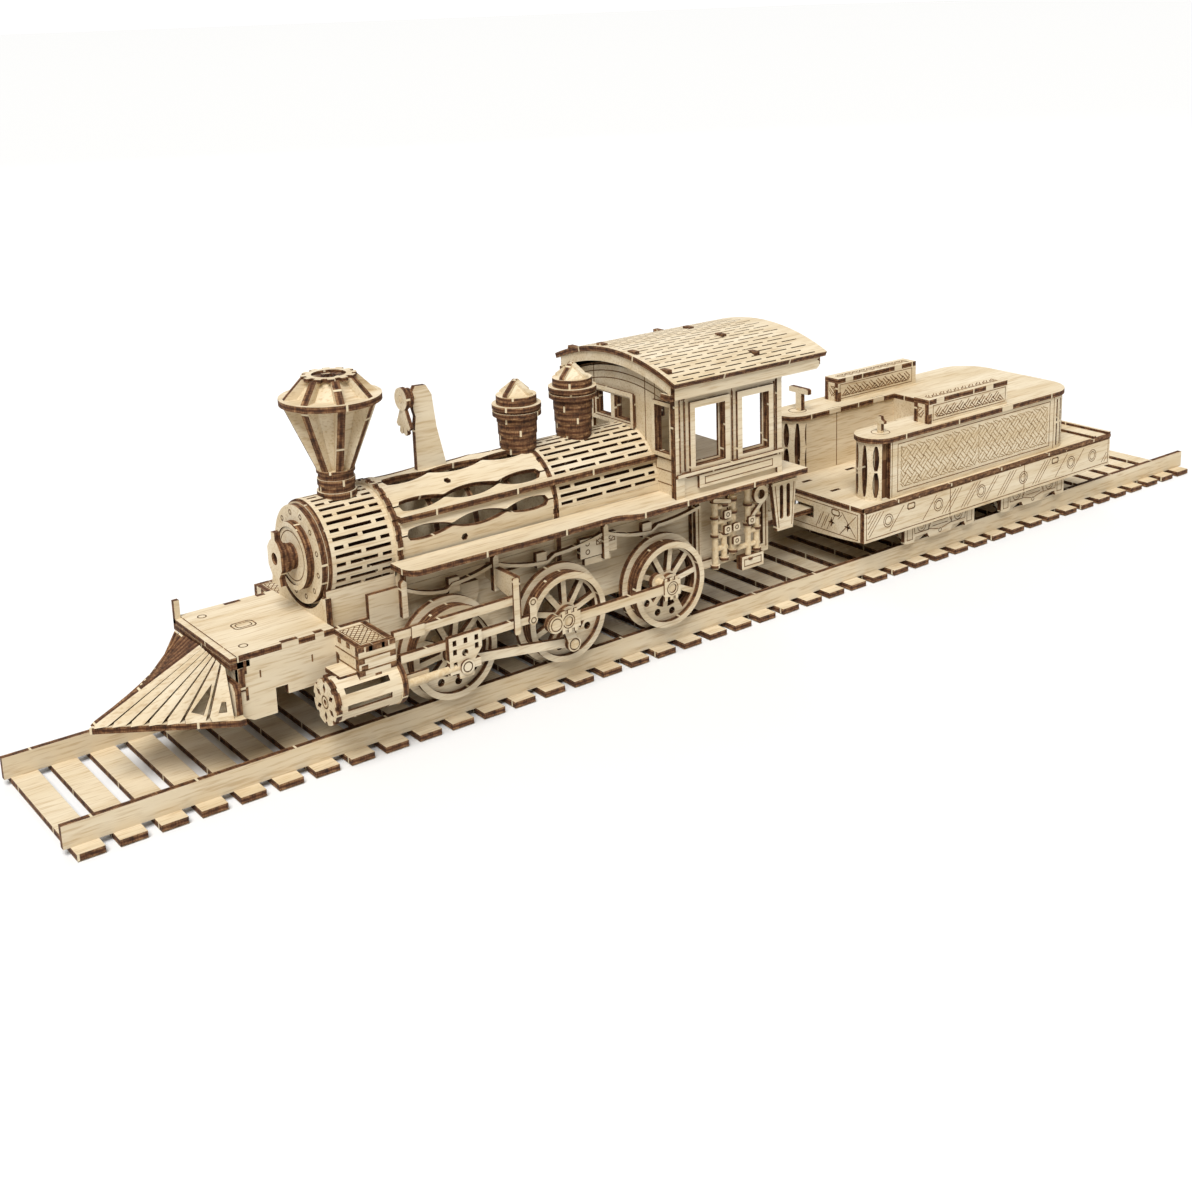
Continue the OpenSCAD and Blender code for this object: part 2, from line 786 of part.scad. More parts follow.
// A truck: two side frames bored for the axles, and the bolster between them on its pin
module truck(x) {
    color("burlywood") difference() {
        union() {
            both_sides() {
                block([x - truck_half_l, truck_frame_y, 10], [x + truck_half_l, truck_frame_y + truck_frame_t, 20]);
                block([x - 6, truck_frame_y, 20 - tiny], [x + 6, truck_frame_y + truck_frame_t, bolster_z + ply]);
            }
            block([x - 6, -truck_frame_y - tiny, bolster_z], [x + 6, truck_frame_y + tiny, bolster_z + ply]);
        }
        for (s = [-1, 1]) pin_y(x + s * truck_axle_dx, truck_axle_z, truck_axle_r + run, -slab, slab);
        pin_z(x, 0, axle_r + run, bolster_z - 1, bolster_z + ply + 1);
    }
}

module truck_front() truck(truck_xs[0]);
module truck_rear() truck(truck_xs[1]);

// Tender wheels with their axle
module tender_axle(x) {
    color("peru") {
        pin_y(x, truck_axle_z, truck_axle_r, -truck_frame_y - truck_frame_t + 0.2,
            truck_frame_y + truck_frame_t - 0.2);
        both_sides() {
            pin_y(x, truck_axle_z, tender_tread_r + 1.4, 22.5, 24.2);
            pin_y(x, truck_axle_z, tender_tread_r, 24.2 - tiny, 27.2);
        }
    }
}

module tender_axle_1() tender_axle(truck_xs[0] - truck_axle_dx);
module tender_axle_2() tender_axle(truck_xs[0] + truck_axle_dx);
module tender_axle_3() tender_axle(truck_xs[1] - truck_axle_dx);
module tender_axle_4() tender_axle(truck_xs[1] + truck_axle_dx);

// A flat T-shaped handle on a round pin
module handle(at, height, width) {
    z = tank_top_z + ply + 0.1;
    color("wheat") translate([at[0], at[1], 0]) {
        pin_z(0, 0, 1.2, tank_top_z + 0.2, z + 2);
        block([-ply / 2, -1.6, z], [ply / 2, 1.6, z + height]);
        block([-ply / 2, -width / 2, z + height - 2 - tiny], [ply / 2, width / 2, z + height]);
    }
}

module brake_handle() handle(handle_at, 9.5, 11);
module water_valve() handle(valve_at, 6.5, 5);

sleepers();
rail_near();
rail_far();
pilot_base();
pilot_slats();
front_deck();
front_frame();
saddle();
steam_chests();
cylinders();
motion_brackets();
side_frames();
smokebox_front();
smokebox_wrap();
chimney();
boiler_rings();
boiler_lattice();
boiler_wrap();
bell_bracket();
front_dome();
rear_dome();
running_boards();
firebox();
cab_floor();
cab_front();
cab_side_near();
cab_side_far();
cab_roof();
cab_steps();
injectors();
drawbar();
bell();
front_axle();
front_wheels();
mid_axle();
mid_wheels();
rear_axle();
rear_wheels();
side_rod_near();
side_rod_far();
main_rod_near();
main_rod_far();
crosshead_near();
crosshead_far();
tender_deck();
tender_valances();
tank_arms();
tank_rear();
tank_top();
toolboxes();
tender_pins();
truck_front();
truck_rear();
tender_axle_1();
tender_axle_2();
tender_axle_3();
tender_axle_4();
brake_handle();
water_valve();
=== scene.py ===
"""Builds the looks of a slot-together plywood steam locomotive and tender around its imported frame.

Every piece is a cut sheet: a flat outline with its holes, or a slit sheet that bends. Lengths are in
millimetres here and become metres when a mesh is made. The near side, at negative Y, is drawn first, and
the far side is its mirror image.
"""

import bpy
import numpy as np
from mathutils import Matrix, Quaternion, Vector
from mathutils.geometry import tessellate_polygon


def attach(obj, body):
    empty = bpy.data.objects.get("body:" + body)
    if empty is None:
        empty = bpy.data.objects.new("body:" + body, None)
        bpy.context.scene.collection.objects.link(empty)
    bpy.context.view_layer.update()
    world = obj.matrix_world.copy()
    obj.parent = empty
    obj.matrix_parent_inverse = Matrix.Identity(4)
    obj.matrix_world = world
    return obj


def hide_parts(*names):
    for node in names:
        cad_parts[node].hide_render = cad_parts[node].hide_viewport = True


bl_info = {
    "name": "Plywood Locomotive Kit",
    "version": (1, 0, 0),
    "blender": (4, 5, 0),
    "location": "View3D > Sidebar > Locomotive Kit",
    "description": "Cuts and assembles a plywood steam locomotive, its tender and its track",
    "category": "Add Mesh",
}

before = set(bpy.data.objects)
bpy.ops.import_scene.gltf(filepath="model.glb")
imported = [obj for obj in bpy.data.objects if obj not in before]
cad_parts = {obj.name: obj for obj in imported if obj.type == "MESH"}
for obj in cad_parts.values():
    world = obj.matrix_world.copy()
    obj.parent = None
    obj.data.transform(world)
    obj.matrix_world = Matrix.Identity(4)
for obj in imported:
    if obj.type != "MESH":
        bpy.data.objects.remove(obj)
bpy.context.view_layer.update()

MM = 0.001
PLY = 2.0
FACE, EDGE, SCORE, DOWEL, WEAVE = range(5)
X, Y, Z = np.eye(3)

# Places that the pieces share, as in the frame
BOILER_Z = 58.4
BOILER_R = 18.2
AXLE_Z = 24.5
AXLE_XS = (-138.0, -94.0, -50.0)
MAIN_PIN = (-1.4, -7.6)
SIDE_PIN = (-5.4, 2.4)
BOARD_Z = 53.0
FLOOR_Z = 55.0
ROOF_R = 86.6
ROOF_TOP = 104.0
TENDER_Z = 31.4
TANK_TOP = 54.4
ARM_X, ARM_Y, ARM_R = 60.5, 22.9, 7.7
CORNER_X, CORNER_Y, CORNER_R = 162, 16.6, 14.0
CROSSHEAD = (-138.9, 22.8)
CYLINDER_Y = 31.5

# How far each pilot slat is turned about its length, and how thick a chimney fin is
LEAN = np.radians(19)
FIN = 2.5


# ---------------------------------------------------------------- outlines


def arc(cx, cy, r, start, end, count=12):
    """Points on a circle: centre + r (cos a, sin a) for angles from start to end, in degrees."""
    a = np.radians(np.linspace(start, end, count))
    return np.stack([cx + r * np.cos(a), cy + r * np.sin(a)], 1)


def disc(cx, cy, r, count=40):
    """A closed circle."""
    return arc(cx, cy, r, 0, 360, count + 1)[:-1]


def box(x0, y0, x1, y1):
    """A rectangle between two corners."""
    return np.array([[x0, y0], [x1, y0], [x1, y1], [x0, y1]], float)


def rounded(x0, y0, x1, y1, r, count=5):
    """A rectangle whose corners are quarter circles of radius r."""
    corners = ((x1 - r, y0 + r, -90), (x1 - r, y1 - r, 0), (x0 + r, y1 - r, 90), (x0 + r, y0 + r, 180))
    return np.vstack([arc(cx, cy, r, a, a + 90, count) for cx, cy, a in corners])


def bar(a, b, width, end_r=None, count=9):
    """A straight bar from a to b with half-round ends of radius end_r."""
    a, b = np.array(a, float), np.array(b, float)
    r = width / 2 if end_r is None else end_r
    turn = np.degrees(np.arctan2(*(b - a)[::-1]))
    half = np.degrees(np.arcsin(min(1.0, width / 2 / r)))
    return np.vstack([arc(*b, r, turn - 180 + half, turn + 180 - half, 2 * count),
                      arc(*a, r, turn + half, turn + 360 - half, 2 * count)])


def lens(cx, cy, length, width, count=10):
    """A pointed oval: its half width is width / 2 times (1 - t squared), t from -1 to 1 along it."""
    t = np.linspace(-1, 1, count)
    h = width / 2 * (1 - t**2)
    low = np.stack([cx + t * length / 2, cy - h], 1)
    high = np.stack([cx + t * length / 2, cy + h], 1)[::-1]
    return np.vstack([low, high[1:-1]])


def chain(points, closed=False):
    """Segments that join the points one after another."""
    p = np.asarray(points, float)
    q = np.roll(p, -1, 0)
    s = np.stack([p, q], 1)
    return s if closed else s[:-1]


def hatch(x0, y0, x1, y1, step, slope=1.0):
    """Slanting segments that fill a rectangle: lines y = slope x + c, clipped to its sides."""
    span = (y1 - y0) / abs(slope)
    starts = np.arange(x0 - span + step / 2, x1, step)
    a = np.clip(starts, x0, x1)
    b = np.clip(starts + span, x0, x1)
    rise_a = y0 + (a - starts) * abs(slope)
    rise_b = y0 + (b - starts) * abs(slope)
    keep = b - a > step * 0.2
    s = np.stack([np.stack([a, rise_a], 1), np.stack([b, rise_b], 1)], 1)[keep]
    if slope < 0:
        s[:, :, 0] = x0 + x1 - s[:, :, 0]
    return s


def herringbone(x0, y0, x1, y1, pitch=6.0, strokes=3):
    """Basket weave of short strokes: squares on a diagonal grid whose strokes turn by 90 degrees in turn."""
    half = pitch / 2
    ks = (np.arange(strokes) - (strokes - 1) / 2) * half * 0.62
    cells = [(i, j) for i in range(int((x1 - x0) / half) + 1) for j in range(int((y1 - y0) / half) + 1)
             if (i + j) % 2 == 0]
    out = []
    for i, j in cells:
        c = np.array([x0 + i * half, y0 + j * half])
        along = np.array([1.0, 1.0]) if i % 2 else np.array([1.0, -1.0])
        side = np.array([-along[1], along[0]])
        for k in ks:
            m = c + side * k * 0.7
            out.append([m - along * half * 0.5, m + along * half * 0.5])
    s = np.array(out)
    s[:, :, 0] = np.clip(s[:, :, 0], x0, x1)
    s[:, :, 1] = np.clip(s[:, :, 1], y0, y1)
    return s[np.linalg.norm(s[:, 1] - s[:, 0], axis=1) > 0.4]


# ---------------------------------------------------------------- places for a sheet


def plane(origin, u_axis, v_axis):
    """Puts a sheet's (u, v) at origin + u U + v V + w N, where N is U cross V."""
    o = np.array(origin, float)
    u = np.array(u_axis, float) / np.linalg.norm(u_axis)
    v = np.array(v_axis, float) / np.linalg.norm(v_axis)
    n = np.cross(u, v)
    return lambda p, w: o + p[:, :1] * u + p[:, 1:] * v + w * n


def near(y_out, t=PLY):
    """A sheet along the track whose outer face looks to the near side from y_out off the centreline."""
    return plane((0, -(y_out - t), 0), X, Z)


def lying(z):
    """A sheet that lies flat, its underside at z."""
    return plane((0, 0, z), X, Y)


def to_front(x, t=PLY):
    """A sheet across the track whose outer face looks forward from x. Its u runs to the near side."""
    return plane((x + t, 0, 0), -Y, Z)


def to_back(x):
    """A sheet across the track from x, whose outer face looks to the rear."""
    return plane((x, 0, 0), Y, Z)


def around(axis_z, r, y=0.0):
    """Wraps a sheet round a line along X: u runs along it, v is an arc length from the top."""
    def place(p, w):
        a = p[:, 1:] / r
        return np.hstack([p[:, :1], y + (r + w) * np.sin(a), axis_z + (r + w) * np.cos(a)])
    return place


def upright(cx, cy, r):
    """Wraps a sheet round an upright line: u is height, v an arc length from the rearward side."""
    def place(p, w):
        a = -p[:, 1:] / r
        return np.hstack([cx + (r + w) * np.cos(a), cy + (r + w) * np.sin(a), p[:, :1]])
    return place


# ---------------------------------------------------------------- cutting the sheets


def heading(a):
    """The level direction at angle a, and the one a quarter turn on from it."""
    return np.array([np.cos(a), np.sin(a), 0]), np.array([-np.sin(a), np.cos(a), 0])


def signed_area(loop):
    """Half the sum of x y' - x' y round the loop: positive when it runs anticlockwise."""
    x, y = loop.T
    return 0.5 * np.sum(x * np.roll(y, -1) - np.roll(x, -1) * y)


class Sheets:
    """Cut sheets that are collected into one mesh."""

    def __init__(self):
        self.co, self.tri, self.quad = [], [], []
        self.tri_mat, self.quad_mat, self.tri_uv, self.quad_uv = [], [], [], []
        self.count = 0

    def put(self, co, tri=None, quad=None, tri_mat=None, quad_mat=None, tri_uv=None, quad_uv=None):
        """Adds arrays of corners and faces with their materials and their UVs in millimetres."""
        self.co.append(co)
        if tri is not None and len(tri):
            self.tri.append(tri + self.count)
            self.tri_mat.append(tri_mat)
            self.tri_uv.append(tri_uv)
        if quad is not None and len(quad):
            self.quad.append(quad + self.count)
            self.quad_mat.append(quad_mat)
            self.quad_uv.append(quad_uv)
        self.count += len(co)

    def plate(self, loops, place, t=PLY, edge=EDGE, face=FACE):
        """A flat sheet: the first loop is its outline and the others are holes. Each loop point gives a
        lower and an upper corner, and each side of a loop gives a wall, w from 0 to t."""
        if isinstance(loops, np.ndarray):
            loops = [loops]
        loops = [l if (signed_area(l) > 0) == (k == 0) else l[::-1] for k, l in enumerate(loops)]
        flat = np.vstack(loops)
        n = len(flat)
        tri = np.array(tessellate_polygon([[Vector((x, y, 0)) for x, y in l] for l in loops]))
        a, b, c = flat[tri[:, 0]], flat[tri[:, 1]], flat[tri[:, 2]]
        area = (b - a)[:, 0] * (c - a)[:, 1] - (b - a)[:, 1] * (c - a)[:, 0]
        tri = np.where(area[:, None] > 0, tri, tri[:, ::-1])[np.abs(area) > 1e-7]
        walls, lengths = [], []
        start = 0
        for l in loops:
            i = np.arange(len(l))
            j = (i + 1) % len(l)
            walls.append(np.stack([i + start, j + start, j + start + n, i + start + n], 1))
            step = np.linalg.norm(l[j] - l[i], axis=1)
            s = np.concatenate([[0], np.cumsum(step)])
            lengths.append(np.stack([s[:-1], s[1:]], 1))
            start += len(l)
        walls, lengths = np.vstack(walls), np.vstack(lengths)
        shift = 5.17 * self.count % 23
        zero, full = np.zeros(len(walls)), np.full(len(walls), PLY)
        start_s, end_s = lengths[:, 0] + shift, lengths[:, 1] + shift
        corners = ((start_s, zero), (end_s, zero), (end_s, full), (start_s, full))
        wall_uv = np.stack([np.stack(corner, 1) for corner in corners], 1)
        co = np.vstack([place(flat, np.zeros((n, 1))), place(flat, np.full((n, 1), t))])
        faces = np.vstack([tri + n, tri[:, ::-1]])
        self.put(co, faces, walls, np.full(len(faces), face), np.full(len(walls), edge),
                 flat[faces % n], wall_uv)

    def slit_sheet(self, us, vs, solid, place, t=PLY):
        """A bent sheet on a grid of cells. us are the cells' ends along u, vs along v (one row of them, or
        one for each u). Cells where solid is False are cut away, and every cut gets its wall."""
        us = np.asarray(us, float)
        vs = np.broadcast_to(np.asarray(vs, float), (len(us), np.shape(vs)[-1]))
        flat = np.stack([np.repeat(us[:, None], vs.shape[1], 1), vs], 2).reshape(-1, 2)
        n = len(flat)
        index = np.arange(n).reshape(vs.shape)
        a, b, c, d = index[:-1, :-1], index[1:, :-1], index[1:, 1:], index[:-1, 1:]
        pad = np.pad(solid, 1)
        sides = ((a, b, pad[1:-1, :-2]), (b, c, pad[2:, 1:-1]),
                 (c, d, pad[1:-1, 2:]), (d, a, pad[:-2, 1:-1]))
        top = np.stack([a, b, c, d], 2)[solid]
        walls = [np.stack([p, q, q + n, p + n], 2)[solid & ~other] for p, q, other in sides]
        walls = np.vstack(walls)
        co = np.vstack([place(flat, np.zeros((n, 1))), place(flat, np.full((n, 1), t))])
        faces = np.vstack([top + n, top[:, ::-1]])
        along = flat[walls[:, :2]].sum(2)
        rise = np.array([0, 0, PLY, PLY])
        wall_uv = np.stack([along[:, [0, 1, 1, 0]], np.broadcast_to(rise, (len(walls), 4))], 2)
        self.put(co, None, np.vstack([faces, walls]), None,
                 np.r_[np.full(len(faces), FACE), np.full(len(walls), EDGE)],
                 None, np.vstack([flat[faces % n], wall_uv]))

    def lines(self, segments, place, width=0.38, mat=SCORE, rise=0.05, sink=0.02, caps=True):
        """Scored lines: each segment is a low bar of the given width that stands just proud of the face."""
        s = np.asarray(segments, float)
        a, b = s[:, 0], s[:, 1]
        along = b - a
        along /= np.linalg.norm(along, axis=1)[:, None]
        side = np.stack([-along[:, 1], along[:, 0]], 1) * width / 2
        ext = along * width / 2 * caps
        flat = np.stack([a - ext - side, b + ext - side, b + ext + side, a - ext + side], 1).reshape(-1, 2)
        n = len(flat)
        co = np.vstack([place(flat, np.full((n, 1), -sink)), place(flat, np.full((n, 1), rise))])
        base = np.arange(0, n, 4)[:, None]
        box_faces = np.array([[4, 5, 6, 7], [3, 2, 1, 0], [0, 1, 5, 4],
                              [1, 2, 6, 5], [2, 3, 7, 6], [3, 0, 4, 7]])
        upper = box_faces >= 4
        quads = (base[:, :, None] + (box_faces % 4)[None] + upper[None] * n).reshape(-1, 4)
        self.put(co, None, quads, None, np.full(len(quads), mat), None, flat[quads % n])

    def outline(self, loop, place, width):
        """Scores the line round a closed loop."""
        self.lines(chain(loop, True), place, width)

    def dowel(self, centre, axis, r, length, count=20):
        """A round peg from centre along axis, with its rim in wood and its ends in end grain."""
        axis = np.array(axis, float)
        helper = Z if abs(axis[2]) < 0.9 else X
        u = np.cross(helper, axis)
        v = np.cross(axis, u)
        self.plate(disc(0, 0, r, count), plane(centre, u, v), length, edge=DOWEL, face=DOWEL)

    def mirrored(self):
        """Adds the far side: every corner's y changes sign and every face runs the other way."""
        co = np.vstack(self.co)
        flip = co * (1, -1, 1)
        tri = np.vstack(self.tri)[:, ::-1] if self.tri else None
        quad = np.vstack(self.quad)[:, ::-1] if self.quad else None
        self.put(flip, tri, quad,
                 np.concatenate(self.tri_mat) if self.tri else None,
                 np.concatenate(self.quad_mat) if self.quad else None,
                 np.vstack(self.tri_uv)[:, ::-1] if self.tri else None,
                 np.vstack(self.quad_uv)[:, ::-1] if self.quad else None)
        return self

    def only_far(self):
        """Turns what was drawn on the near side into the far side's piece."""
        drawn = len(self.co)
        self.mirrored()
        far = Sheets()
        co = np.vstack(self.co[drawn:])
        k = self.count // 2
        tri = self.tri[-1] - k if self.tri else None
        quad = self.quad[-1] - k if self.quad else None
        far.put(co, tri, quad,
                self.tri_mat[-1] if self.tri else None, self.quad_mat[-1] if self.quad else None,
                self.tri_uv[-1] if self.tri else None, self.quad_uv[-1] if self.quad else None)
        return far

    def finish(self, name, body, nodes, slot="birch_ply"):
        """Makes the mesh and ties it to its body and to the frame's nodes that it stands for."""
        co = np.vstack(self.co) * MM
        tri = np.vstack(self.tri) if self.tri else np.zeros((0, 3), int)
        quad = np.vstack(self.quad) if self.quad else np.zeros((0, 4), int)
        used, flat = np.unique(np.concatenate([tri.ravel(), quad.ravel()]), return_inverse=True)
        tri = flat[:tri.size].reshape(-1, 3)
        quad = flat[tri.size:].reshape(-1, 4)
        mesh = bpy.data.meshes.new(name)
        mesh.from_pydata(co[used].tolist(), [], tri.tolist() + quad.tolist())
        for material in sheet_materials():
            mesh.materials.append(material)
        mats = np.concatenate(self.tri_mat + self.quad_mat).astype(np.int32)
        mesh.polygons.foreach_set("material_index", mats)
        uvs = [u.reshape(-1, 2) for u in self.tri_uv + self.quad_uv]
        mesh.uv_layers.new(name="cut").data.foreach_set("uv", np.vstack(uvs).astype(np.float32).ravel())
        mesh.update()
        piece = bpy.data.objects.new(name, mesh)
        bpy.context.scene.collection.objects.link(piece)
        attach(piece, body)
        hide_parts(*nodes)
        return piece


# ---------------------------------------------------------------- wood


def linear(colour):
    """An sRGB hex colour as linear red, green, blue and 1."""
    c = np.array([int(colour[k:k + 2], 16) for k in (1, 3, 5)]) / 255
    return (*np.where(c <= 0.04045, c / 12.92, ((c + 0.055) / 1.055) ** 2.4), 1.0)


def add(tree, kind, inputs=None, **settings):
    """Adds a node, sets what is named, and fills each input with a value or links it to a socket."""
    made = tree.nodes.new(kind)
    for key, value in settings.items():
        setattr(made, key, value)
    for key, value in (inputs or {}).items():
        socket = made.inputs[key]
        if isinstance(value, bpy.types.NodeSocket):
            tree.links.new(value, socket)
        else:
            socket.default_value = value
    return made


def ramp(tree, factor, stops):
    """A colour ramp through (position, hex colour) stops."""
    made = add(tree, "ShaderNodeValToRGB", {"Fac": factor})
    for k, (position, colour) in enumerate(stops):
        stop = made.color_ramp.elements[k] if k < 2 else made.color_ramp.elements.new(position)
        stop.position, stop.color = position, linear(colour)
    return made.outputs["Color"]


def wood(name, roughness):
    """An empty matt wood with its shader."""
    material = bpy.data.materials.new(name)
    material.use_nodes = True
    tree = material.node_tree
    shader = tree.nodes["Principled BSDF"]
    shader.inputs["Roughness"].default_value = roughness
    shader.inputs["IOR"].default_value = 1.5
    shader.inputs["Specular IOR Level"].default_value = 0.3
    return material, tree, shader


def birch_face():
    """Sanded birch veneer: cream, with long soft streaks and short darker fibres along the sheet."""
    material, tree, shader = wood("birch_veneer", 0.6)
    at = add(tree, "ShaderNodeTexCoord").outputs["Object"]
    long_grain = add(tree, "ShaderNodeMapping", {"Vector": at, "Scale": (14, 150, 150)}).outputs[0]
    fibre = add(tree, "ShaderNodeMapping", {"Vector": at, "Scale": (110, 1500, 1500)}).outputs[0]
    cloud = add(tree, "ShaderNodeTexNoise", {"Vector": long_grain, "Scale": 1.0, "Detail": 3.0}).outputs[0]
    fine = add(tree, "ShaderNodeTexNoise", {"Vector": fibre, "Scale": 1.0, "Detail": 2.0}).outputs[0]
    base = ramp(tree, cloud, ((0.3, "#C9B592"), (0.72, "#DBCDB2")))
    dark = ramp(tree, fine, ((0.32, "#C6AC84"), (0.5, "#FFFFFF")))
    mixed = add(tree, "ShaderNodeMix", data_type="RGBA", blend_type="MULTIPLY")
    mixed.inputs["Factor"].default_value = 0.45
    tree.links.new(base, mixed.inputs["A"])
    tree.links.new(dark, mixed.inputs["B"])
    tree.links.new(mixed.outputs["Result"], shader.inputs["Base Color"])
    bump = add(tree, "ShaderNodeBump", {"Height": fine, "Strength": 0.12, "Distance": 0.0002})
    tree.links.new(bump.outputs[0], shader.inputs["Normal"])
    return material


def burnt_edge():
    """Laser-cut edge: charred brown in three ply layers, lighter where the beam ran fast, with a pale
    break every few centimetres where a holding tab was left."""
    material, tree, shader = wood("burnt_ply_edge", 0.75)
    uv = add(tree, "ShaderNodeUVMap", uv_map="cut").outputs[0]
    part = add(tree, "ShaderNodeSeparateXYZ", {"Vector": uv})
    along = add(tree, "ShaderNodeMapping", {"Vector": uv, "Scale": (0.35, 0.9, 1)}).outputs[0]
    streak = add(tree, "ShaderNodeMapping", {"Vector": uv, "Scale": (2.5, 0.4, 1)}).outputs[0]
    patches = add(tree, "ShaderNodeTexNoise", {"Vector": along, "Scale": 1.0, "Detail": 2.0}).outputs[0]
    cuts = add(tree, "ShaderNodeTexNoise", {"Vector": streak, "Scale": 1.0, "Detail": 1.0}).outputs[0]
    brown = ramp(tree, patches, ((0.3, "#432B19"), (0.52, "#735033"), (0.75, "#A07C56")))
    tone = ramp(tree, cuts, ((0.3, "#8A7462"), (0.6, "#FFFFFF")))
    charred = add(tree, "ShaderNodeMix", data_type="RGBA", blend_type="MULTIPLY")
    charred.inputs["Factor"].default_value = 0.7
    tree.links.new(brown, charred.inputs["A"])
    tree.links.new(tone, charred.inputs["B"])
    middle = add(tree, "ShaderNodeMath", {0: part.outputs["Y"], 1: 1.0}, operation="SUBTRACT").outputs[0]
    off = add(tree, "ShaderNodeMath", {0: middle}, operation="ABSOLUTE").outputs[0]
    core = add(tree, "ShaderNodeMath", {0: off, 1: 0.34}, operation="LESS_THAN").outputs[0]
    layered = add(tree, "ShaderNodeMix", data_type="RGBA", blend_type="MULTIPLY")
    layered.inputs["B"].default_value = linear("#B9A08A")
    tree.links.new(core, layered.inputs["Factor"])
    tree.links.new(charred.outputs["Result"], layered.inputs["A"])
    between, wide = 31.0, 0.7
    place = add(tree, "ShaderNodeMath", {0: part.outputs["X"], 1: between}, operation="FLOORED_MODULO")
    gap = add(tree, "ShaderNodeMath", {0: place.outputs[0], 1: wide}, operation="LESS_THAN").outputs[0]
    held = add(tree, "ShaderNodeMix", data_type="RGBA")
    held.inputs["B"].default_value = linear("#CFBF9F")
    tree.links.new(gap, held.inputs["Factor"])
    tree.links.new(layered.outputs["Result"], held.inputs["A"])
    tree.links.new(held.outputs["Result"], shader.inputs["Base Color"])
    return material


def scored_line(name="scored_burn", dark="#5E4023", light="#8A6844"):
    """Scored line: the beam run low, a thin brown burn in the veneer."""
    material, tree, shader = wood(name, 0.8)
    at = add(tree, "ShaderNodeTexCoord").outputs["Object"]
    grain = add(tree, "ShaderNodeTexNoise", {"Vector": at, "Scale": 400.0, "Detail": 1.0}).outputs[0]
    tree.links.new(ramp(tree, grain, ((0.35, dark), (0.7, light))), shader.inputs["Base Color"])
    return material


def faint_line():
    """The paler score of the woven panels."""
    return scored_line("faint_burn", "#8E7450", "#AC9470")


def turned_dowel():
    """Beech dowel: warmer than the birch sheets, with fine end grain."""
    material, tree, shader = wood("beech_dowel", 0.55)
    at = add(tree, "ShaderNodeTexCoord").outputs["Object"]
    grain = add(tree, "ShaderNodeTexNoise", {"Vector": at, "Scale": 900.0, "Detail": 2.0}).outputs[0]
    tree.links.new(ramp(tree, grain, ((0.3, "#C2A880"), (0.7, "#D6C3A0"))), shader.inputs["Base Color"])
    return material


def sheet_materials():
    """The five finishes in the order of FACE, EDGE, SCORE, DOWEL and WEAVE, made once."""
    names = ("birch_veneer", "burnt_ply_edge", "scored_burn", "beech_dowel", "faint_burn")
    makers = (birch_face, burnt_edge, scored_line, turned_dowel, faint_line)
    return [bpy.data.materials.get(n) or make() for n, make in zip(names, makers)]


# ---------------------------------------------------------------- shapes that repeat


def dashes(length, rows, pitch, slit, patterns, start=0.0):
    """Rows of slits for a bending sheet: row k, centred at start + (k + 1/2) pitch, has its slits at the
    (from, to) spans of patterns[k mod n]. Gives the cells' ends along u and v and the mask of solid cells."""
    ends = sorted({0.0, float(length), *(e for spans in patterns for span in spans for e in span)})
    us = np.array(ends)
    middle = (us[:-1] + us[1:]) / 2
    centres = start + (np.arange(rows) + 0.5) * pitch
    vs = np.concatenate([[start], np.stack([centres - slit / 2, centres + slit / 2], 1).ravel(),
                         [start + rows * pitch]])
    solid = np.ones((len(us) - 1, len(vs) - 1), bool)
    for k in range(rows):
        for a, b in patterns[k % len(patterns)]:
            solid[(middle > a) & (middle < b), 2 * k + 1] = False
    return us, vs, solid


def fingers(s, place, x, z0, z1, step=3.0, width=PLY, first=0):
    """Ends of a finger joint: charred squares one after another up an edge, every other one left out."""
    zs = np.arange(z0, z1 - 0.1, step)[first::2]
    s.lines([[[x, z], [x, min(z + step, z1)]] for z in zs], place, width, EDGE, 0.04, 0.02, caps=False)


def castle(cx, cz, w, h, teeth=3, tooth=1.2):
    """A bearing block, w wide and h high, with small teeth above and below."""
    half = w / 2
    xs = np.linspace(-half, half, 2 * teeth + 1)
    points = []
    for k in range(2 * teeth):
        rise = tooth if k % 2 == 0 else 0
        points += [[xs[k], h / 2 + rise], [xs[k + 1], h / 2 + rise]]
    top = np.array(points)
    low = top[::-1] * (1, -1)
    return np.vstack([low, top])[::-1] + (cx, cz)


def stack(s, cx, cy, z, layers):
    """Discs glued one on another: layers are (radius, thickness) from z upwards. Gives the top's height."""
    for r, t in layers:
        s.plate(disc(cx, cy, r, 48), lying(z), t)
        z += t
    return z


